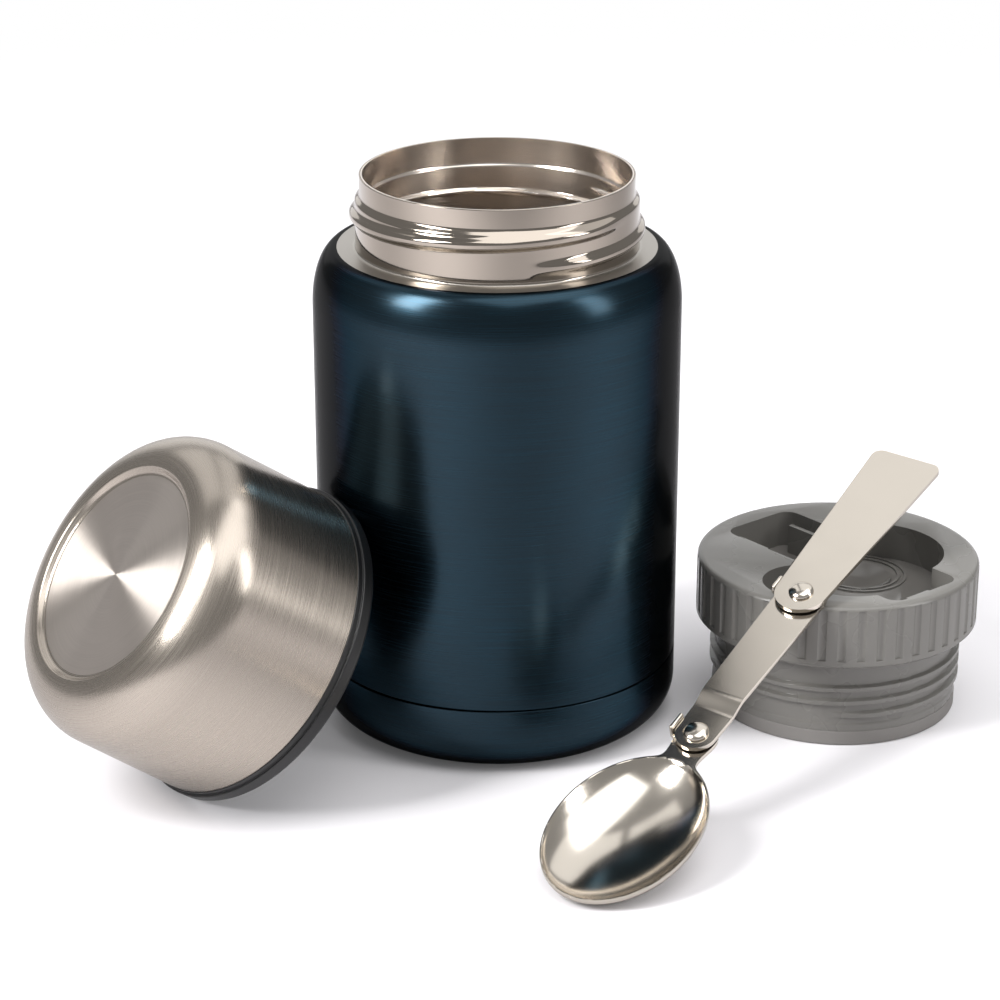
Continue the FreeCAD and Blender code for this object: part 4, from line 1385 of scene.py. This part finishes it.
@dataclass
class FoldingSpoon:
    """Three polished plates on two rivets, leaning from the floor over the stopper's edge.

    Sizes are in millimetres and angles in degrees.
    """

    x: float = 51.85
    y: float = -73.12
    z: float = 23.5954
    yaw: float = 54.4
    pitch: float = 19.1
    roll: float = 3.6
    sheet: float = 1.2
    washer: float = 0.55
    washer_radius: float = 4.4
    play: float = 0.05
    spacing: float = 56.3
    narrow: float = 5.6
    wide: float = 6.9
    plate_sharp_angle: float = 50.0
    joggle_start: float = 8.8
    joggle_end: float = 13.6
    joggle_rise: float = 1.6
    joggle_ease_in: float = 0.9
    joggle_ease_out: float = 1.3
    joggle_points_before: float = 1.0
    joggle_points_after: float = 1.5
    link_edge: float = 0.28
    handle_length: float = 62.5
    handle_round: float = 7.3
    handle_end: float = 21.1
    handle_corner: float = 3.0
    handle_edge: float = 0.3
    bowl_centre: float = 35.6
    bowl_length: float = 52.6
    bowl_width: float = 39.0
    bowl_depth: float = 8.7
    bowl_edge: float = 0.22
    rim_width: float = 0.5
    rim_sheet: float = 0.9
    inside_fullness: float = 0.72
    outside_fullness: float = 0.62
    waist_depth: float = 0.8
    waist_length: float = 7.5
    flare: float = 0.11
    flare_length: float = 5.8
    neck_start: float = -12.0
    blend_start: float = -18.0
    blend_length: float = 5.0
    least_bowl: float = 0.5
    thicken_start: float = -20.0
    thicken_length: float = 8.0
    shank: float = 2.0
    tail_radius: float = 2.5
    tail_depth: float = 0.5
    rivet_head: float = 3.4
    rivet_rise: float = 1.6
    brim: float = 0.25
    brim_inset: float = 0.2
    brim_round: float = 0.1
    dome_start: float = 8.0
    bowl_tab: StopTab = StopTab(start=-2.2, end=4.0, inner=5.85, outer=7.05, foot_inner=3.2, foot_outer=6.4)
    bowl_tab_top: float = 2.9
    link_tab: StopTab = StopTab(start=-1.4, end=4.0, inner=7.66, outer=8.86, foot_inner=4.9, foot_outer=8.2)
    link_tab_drop: float = 0.3

    @property
    def link_low(self) -> float:
        """Height of the link's lower face beyond its joggle."""
        return self.washer + self.joggle_rise

    @property
    def handle_low(self) -> float:
        """Height of the handle's lower face."""
        return self.link_low + self.sheet + self.washer

    def place(self) -> Matrix:
        """Work out where the spoon leans.

        Returns:
            The transform from the spoon's own axes to its place.
        """
        yaw, pitch, roll = (math.radians(v) for v in (self.yaw, self.pitch, self.roll))
        along = Vector((math.cos(pitch) * math.cos(yaw), math.cos(pitch) * math.sin(yaw), math.sin(pitch)))
        level = Vector((0, 0, 1)).cross(along).normalized()
        lifted = along.cross(level)
        left = level * math.cos(roll) + lifted * math.sin(roll)
        up = along.cross(left)
        turn = Matrix((along, left, up)).transposed().to_4x4()
        return shift(self.x, self.y, self.z) @ turn

    def build(self) -> list[bpy.types.Object]:
        """Build all the spoon's pieces.

        Returns:
            The finished pieces.
        """
        steel = MIRROR_SPOON.material()
        plate_top = self.washer + self.sheet
        return [
            self.bowl(steel), self.link(steel), self.handle(steel),
            self.rivet("bowl_pin", 0.0, -self.sheet, plate_top + self.play, steel, "spoon", "bowl_rivet"),
            self.rivet("handle_pin", self.spacing, self.link_low, self.handle_low + self.sheet + self.play,
                       steel, "link", "handle_rivet"),
            self.spacer("bowl_spacer", 0.0, 0.0, steel, "spoon", "bowl_washer"),
            self.spacer("handle_spacer", self.spacing, self.link_low + self.sheet, steel, "link",
                        "handle_washer")]

    def lean(self, piece: bpy.types.Object, steel: bpy.types.Material, body: str, node: str,
             x: float = 0.0) -> bpy.types.Object:
        """Dress a piece, put it in its place in the leaning spoon and hand it over.

        Args:
            piece: the piece in the spoon's own axes.
            steel: its finish.
            body: body that carries it.
            node: solid that it stands for.
            x: how far along the spoon it is moved.

        Returns:
            The finished piece.
        """
        dress(piece, steel)
        return finished(placed(piece, self.place() @ shift(x)), body, node)

    def with_tab(self, sheet: bpy.types.Object, name: str, tab: StopTab, x: float, low: float,
                 high: float) -> bpy.types.Object:
        """Join a plate with its stop tab.

        Args:
            sheet: the plate, with its modifiers.
            name: name of the result.
            tab: sizes of the tab.
            x: place of the rivet along the spoon.
            low: height of the plate's lower face.
            high: height of the tab's end.

        Returns:
            The plate with its tab as a plain mesh.
        """
        start, end = x + tab.start, x + tab.end
        upright = block("tab", (start, tab.inner, low), (end, tab.outer, high))
        bevel(upright, tab.tab_round, segments=5)
        foot = block("foot", (start, tab.foot_inner, low), (end, tab.foot_outer, low + self.sheet))
        bevel(foot, tab.foot_round)
        return merged(name, [baked(piece, "plain") for piece in (sheet, upright, foot)])

    def bowl(self, steel: bpy.types.Material) -> bpy.types.Object:
        """Build the bowl and its neck as one sheet, with its stop tab.

        Args:
            steel: its finish.

        Returns:
            The finished bowl.
        """
        a, b, c = self.bowl_length / 2, self.bowl_width / 2, -self.bowl_centre
        t, rim, narrow = self.sheet, self.rim_sheet, self.narrow

        def half(x: float) -> float:
            """Half width: ellipse of the bowl, then the waisted neck and its round end."""
            if x >= 0:
                return circle(narrow, x)
            bowl = b * math.sqrt(max(0.0, 1 - ((x - c) / a) ** 2))
            s = -x / self.waist_length
            past = min(-x - self.waist_length, self.flare_length)
            neck = narrow - self.waist_depth * (3 * s ** 2 - 2 * s ** 3)
            if s >= 1:
                neck = narrow - self.waist_depth + self.flare * past ** 2
            blend = clamped((x - self.blend_start) / self.blend_length)
            both = math.log(math.exp(neck) + math.exp(bowl)) if bowl > self.least_bowl else neck
            return bowl + blend * (both - bowl)

        def inside(x: float, y: float) -> float:
            """Height of the upper face: a dish that leaves the rim at a slant."""
            p = 1 - ((x - c) / (a - self.rim_width)) ** 2 - (y / (b - self.rim_width)) ** 2
            return -(self.bowl_depth - t) * p ** self.inside_fullness if p > 0 else 0.0

        def outside(x: float, y: float) -> float:
            """Height of the lower face, which the neck's sheet joins."""
            p = 1 - ((x - c) / a) ** 2 - (y / b) ** 2
            dish = -(self.bowl_depth - rim) * p ** self.outside_fullness - rim if p > 0 else -rim
            thicker = clamped((x - self.thicken_start) / self.thicken_length)
            return min(dish, -rim - (t - rim) * thicker)

        neck_start = self.neck_start
        stations = round_start(neck_start, neck_start - (c - a), 56)
        stations += even_places(neck_start, 0.0, 24) + round_end(0.0, narrow, 12)
        sheet = plate("bowl_sheet", stations, half, inside, outside, across=48)
        bevel(sheet, self.bowl_edge, self.plate_sharp_angle)
        piece = self.with_tab(sheet, "spoon_scoop", self.bowl_tab, 0.0, -t, self.bowl_tab_top)
        return self.lean(piece, steel, "spoon", "spoon_bowl")

    def link(self, steel: bpy.types.Material) -> bpy.types.Object:
        """Build the middle plate with its joggle and stop tab.

        Args:
            steel: its finish.

        Returns:
            The finished link.
        """
        widening = (self.wide - self.narrow) / self.spacing
        ease = (self.joggle_start - self.joggle_ease_in, self.joggle_end + self.joggle_ease_out)

        def half(x: float) -> float:
            """Half width between the two round ends."""
            if x < 0:
                return circle(self.narrow, x)
            if x > self.spacing:
                return circle(self.wide, x - self.spacing)
            return self.narrow + widening * x

        def low(x: float, _y: float) -> float:
            """Height of the lower face along the joggle."""
            s = clamped((x - ease[0]) / (ease[1] - ease[0]))
            return self.washer + self.joggle_rise * s * s * (3 - 2 * s)

        def high(x: float, y: float) -> float:
            """Height of the upper face."""
            return low(x, y) + self.sheet

        bend = (self.joggle_start - self.joggle_points_before, self.joggle_end + self.joggle_points_after)
        stations = round_start(0.0, self.narrow, 12) + even_places(0.0, bend[0], 4)
        stations += even_places(*bend, 24) + even_places(bend[1], self.spacing, 12)
        stations += round_end(self.spacing, self.wide, 14)
        sheet = plate("link_sheet", stations, half, high, low, across=16)
        bevel(sheet, self.link_edge, self.plate_sharp_angle)
        top = self.handle_low + self.sheet - self.link_tab_drop
        piece = self.with_tab(sheet, "spoon_middle", self.link_tab, self.spacing, self.link_low, top)
        return self.lean(piece, steel, "link", "spoon_link")

    def handle(self, steel: bpy.types.Material) -> bpy.types.Object:
        """Build the widening end plate.

        Args:
            steel: its finish.

        Returns:
            The finished handle.
        """
        widening = (self.handle_end / 2 - self.handle_round) / self.handle_length
        corner = self.handle_corner
        corner_start = self.spacing + self.handle_length - corner
        low, high = self.handle_low, self.handle_low + self.sheet

        def half(x: float) -> float:
            """Half width: round end, widening sides, then rounded corners."""
            if x < self.spacing:
                return circle(self.handle_round, x - self.spacing)
            width = self.handle_round + widening * (x - self.spacing)
            return width - (corner - circle(corner, x - corner_start) if x > corner_start else 0.0)

        stations = round_start(self.spacing, self.handle_round, 14)
        stations += even_places(self.spacing, corner_start, 12) + round_end(corner_start, corner, 8)
        piece = plate("handle_sheet", stations, half, lambda x, y: high, lambda x, y: low, across=16)
        bevel(piece, self.handle_edge, self.plate_sharp_angle)
        piece = baked(piece, "spoon_grip")
        shade(piece.data)
        return self.lean(piece, steel, "handle", "spoon_handle")

    def rivet(self, name: str, x: float, bottom: float, head: float, steel: bpy.types.Material, body: str,
              node: str) -> bpy.types.Object:
        """Build a rivet with a domed head.

        Args:
            name: name of the piece.
            x: place along the spoon.
            bottom: height of its flush tail.
            head: height of the head's underside.
            steel: its finish.
            body: body that carries it.
            node: solid that it stands for.

        Returns:
            The finished rivet.
        """
        r, rise, brim = self.rivet_head, self.rivet_rise, self.brim
        profile: Profile = [
            (0.0, bottom), (self.tail_radius, bottom), (self.shank, bottom + self.tail_depth),
            (self.shank, head)]
        profile += rounded([(r - self.brim_inset, head, 0), (r, head, self.brim_round), (r, head + brim, 0)])
        profile += arc((0.0, head + brim), r, rise - brim, self.dome_start, 90, steps=14)[:-1]
        profile.append((0.0, head + rise))
        return self.lean(lathe(name, profile, segments=64, closed=False), steel, body, node, x)

    def spacer(self, name: str, x: float, bottom: float, steel: bpy.types.Material, body: str,
               node: str) -> bpy.types.Object:
        """Build the thin washer between two plates.

        Args:
            name: name of the piece.
            x: place along the spoon.
            bottom: height of its lower face.
            steel: its finish.
            body: body that carries it.
            node: solid that it stands for.

        Returns:
            The finished washer.
        """
        top = bottom + self.washer - self.play
        hole, edge = self.shank, self.washer_radius
        ring = lathe(name, [(hole, bottom), (edge, bottom), (edge, top), (hole, top)], segments=64)
        return self.lean(ring, steel, body, node, x)


# Studio

@dataclass(frozen=True)
class SoftBox:
    """One rectangular studio lamp, sizes in metres."""

    name: str
    at: tuple[float, float, float]
    towards: tuple[float, float, float]
    width: float
    height: float
    watts: float

    def hang(self) -> None:
        """Put the lamp in the scene."""
        data = bpy.data.lights.new(self.name, "AREA")
        data.shape = "RECTANGLE"
        data.size = self.width
        data.size_y = self.height
        data.energy = self.watts
        lamp = bpy.data.objects.new(self.name, data)
        lamp.location = self.at
        lamp.visible_camera = False
        aim = Vector(self.towards) - Vector(self.at)
        lamp.rotation_euler = aim.to_track_quat("-Z", "Y").to_euler()
        bpy.context.scene.collection.objects.link(lamp)


@dataclass
class Studio:
    """Pale floor, soft lamps, surroundings and camera, sizes in metres.

    The floor has soft bands that only reflections see: they give polished steel its streaks.
    """

    camera_at: tuple[float, float, float] = (0.00074, -0.76146, 0.36301)
    camera_tilt: float = 68.364
    lens: float = 105.95
    sensor: float = 36.0
    floor_half: float = 3.0
    floor_colour: str = "#eceaed"
    floor_glow: float = 0.05
    floor_white_from: float = 0.35
    floor_white_to: float = 0.9
    room: float = 0.34
    band_turns: float = 3.4
    band_angle: float = -38.0
    band_low: float = 0.64
    lamps: tuple[SoftBox, ...] = (
        SoftBox("key_left", (-1.0, -0.55, 1.0), (0.0, 0.0, 0.1), 0.42, 0.8, watts=25.0),
        SoftBox("fill_right", (1.2, -0.5, 0.8), (0.0, 0.0, 0.1), 0.35, 0.9, watts=6.0),
        SoftBox("top_right", (0.64, 1.0, 1.6), (0.64, 0.0, 0.1), 1.53, 1.6, watts=6.4),
        SoftBox("top_left", (-0.885, 1.0, 1.6), (-0.885, 0.0, 0.1), 1.23, 1.6, watts=5.1),
        SoftBox("overhead", (0.5, -0.4, 1.9), (0.1, 0.0, 0.0), 2.0, 1.3, watts=18.0),
        SoftBox("backdrop", (0.0, 2.2, 0.6), (0.0, 0.0, 0.2), 3.0, 1.0, watts=8.0))

    def build(self) -> None:
        """Set up the floor, the lamps, the surroundings and the camera."""
        self.floor()
        for lamp in self.lamps:
            lamp.hang()
        self.world()
        self.camera()
        bpy.context.scene.view_settings.view_transform = "Standard"

    def floor(self) -> None:
        """Lay the pale floor, which turns white far from the object."""
        h = self.floor_half
        mesh = bpy.data.meshes.new("floor")
        mesh.from_pydata([(-h, -h, 0), (h, -h, 0), (h, h, 0), (-h, h, 0)], [], [(0, 1, 2, 3)])
        floor = mesh_object("floor", mesh)
        material, tree = new_material("studio_floor")
        place = add_node(tree, "ShaderNodeTexCoord").outputs["Object"]
        ray = add_node(tree, "ShaderNodeLightPath").outputs
        split = add_node(tree, "ShaderNodeSeparateXYZ", {0: place}).outputs
        known: dict[str, object] = {
            "x": split[0], "y": split[1], "glossy": ray["Is Glossy Ray"], "one": 1.0, "flip": -1.0,
            "band angle": math.radians(self.band_angle), "band turns": self.band_turns}
        work_out(tree, known, [
            ("front", MATH, "MULTIPLY", "y", "flip"),
            ("angle", MATH, "ARCTAN2", "x", "front"),
            ("turn", MATH, "SUBTRACT", "angle", "band angle"),
            ("phase", MATH, "MULTIPLY", "turn", "band turns"),
            ("wave", MATH, "COSINE", "phase")])
        band = add_node(tree, "ShaderNodeMapRange", {
            "Value": known["wave"], "From Min": -1.0, "To Min": self.band_low})
        known["band"] = band.outputs[0]
        work_out(tree, known, [
            ("dimming", MATH, "SUBTRACT", "band", "one"),
            ("reflected dimming", MATH, "MULTIPLY", "dimming", "glossy"),
            ("lightness", MATH, "ADD", "reflected dimming", "one")])
        tint = add_node(tree, "ShaderNodeMix", {
            MIX_FACTOR: known["lightness"], MIX_FIRST: (0, 0, 0, 1), MIX_SECOND: srgb(self.floor_colour)},
            data_type="RGBA")
        sheet = add_node(tree, "ShaderNodeBsdfDiffuse", {"Color": tint.outputs[MIX_RESULT]})
        glow = add_node(tree, "ShaderNodeEmission", {"Color": (1, 1, 1, 1), "Strength": self.floor_glow})
        lit = add_node(tree, "ShaderNodeAddShader", {0: sheet.outputs[0], 1: glow.outputs[0]})
        near = add_node(tree, "ShaderNodeMixShader", {
            0: ray["Is Camera Ray"], 1: sheet.outputs[0], 2: lit.outputs[0]})
        away = add_node(tree, VECTOR_MATH, {0: place}, operation="LENGTH").outputs["Value"]
        far = add_node(tree, "ShaderNodeMapRange", {
            "Value": away, "From Min": self.floor_white_from, "From Max": self.floor_white_to},
            interpolation_type="SMOOTHSTEP")
        seen = add_node(tree, MATH, {0: far.outputs[0], 1: ray["Is Camera Ray"]}, operation="MULTIPLY")
        white = add_node(tree, "ShaderNodeEmission", {"Color": (1, 1, 1, 1), "Strength": 1.0})
        faded = add_node(tree, "ShaderNodeMixShader", {
            0: seen.outputs[0], 1: near.outputs[0], 2: white.outputs[0]})
        add_node(tree, "ShaderNodeOutputMaterial", {"Surface": faded.outputs[0]})
        dress(floor, material)

    def world(self) -> None:
        """Make the surroundings: white behind the object, a dimmer room around it."""
        world = bpy.data.worlds.new("studio")
        bpy.context.scene.world = world
        world.use_nodes = True
        tree = world.node_tree
        tree.nodes.clear()
        ray = add_node(tree, "ShaderNodeLightPath").outputs
        room = add_node(tree, "ShaderNodeBackground", {"Color": (1, 1, 1, 1), "Strength": self.room})
        white = add_node(tree, "ShaderNodeBackground", {"Color": (1, 1, 1, 1), "Strength": 1.0})
        mix = add_node(tree, "ShaderNodeMixShader", {
            0: ray["Is Camera Ray"], 1: room.outputs[0], 2: white.outputs[0]})
        add_node(tree, "ShaderNodeOutputWorld", {"Surface": mix.outputs[0]})

    def camera(self) -> None:
        """Stand the camera where the photograph was taken from."""
        data = bpy.data.cameras.new("camera")
        data.lens = self.lens
        data.sensor_width = self.sensor
        camera = bpy.data.objects.new("camera", data)
        camera.location = self.camera_at
        camera.rotation_euler = (math.radians(self.camera_tilt), 0, 0)
        bpy.context.scene.collection.objects.link(camera)
        bpy.context.scene.camera = camera


def dress_hidden(nodes: dict[str, bpy.types.Object]) -> None:
    """Give the solids that stay as they are their finishes."""
    finishes = {"vacuum_bottom": DRAWN_STEEL, "getter": DRAWN_STEEL, "evacuation_seal": SOLDER,
                "reflector_foil": COPPER_FOIL, "stopper_insulation": WHITE_FOAM}
    for name, finish in finishes.items():
        dress(nodes[name], finish.material())


def main() -> None:
    """Build every sub-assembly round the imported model."""
    logging.basicConfig(level=logging.INFO, format="%(name)s %(message)s")
    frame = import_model()
    nodes = frame["nodes"]
    for part in (Jar(), CupLid(), Stopper(nodes["stopper_cap"]), FoldingSpoon()):
        for piece in part.build():
            LOG.info("%s %s faces %d", type(part).__name__, piece.name, len(piece.data.polygons))
    dress_hidden(nodes)
    Studio().build()


if __name__ == "__main__":
    main()
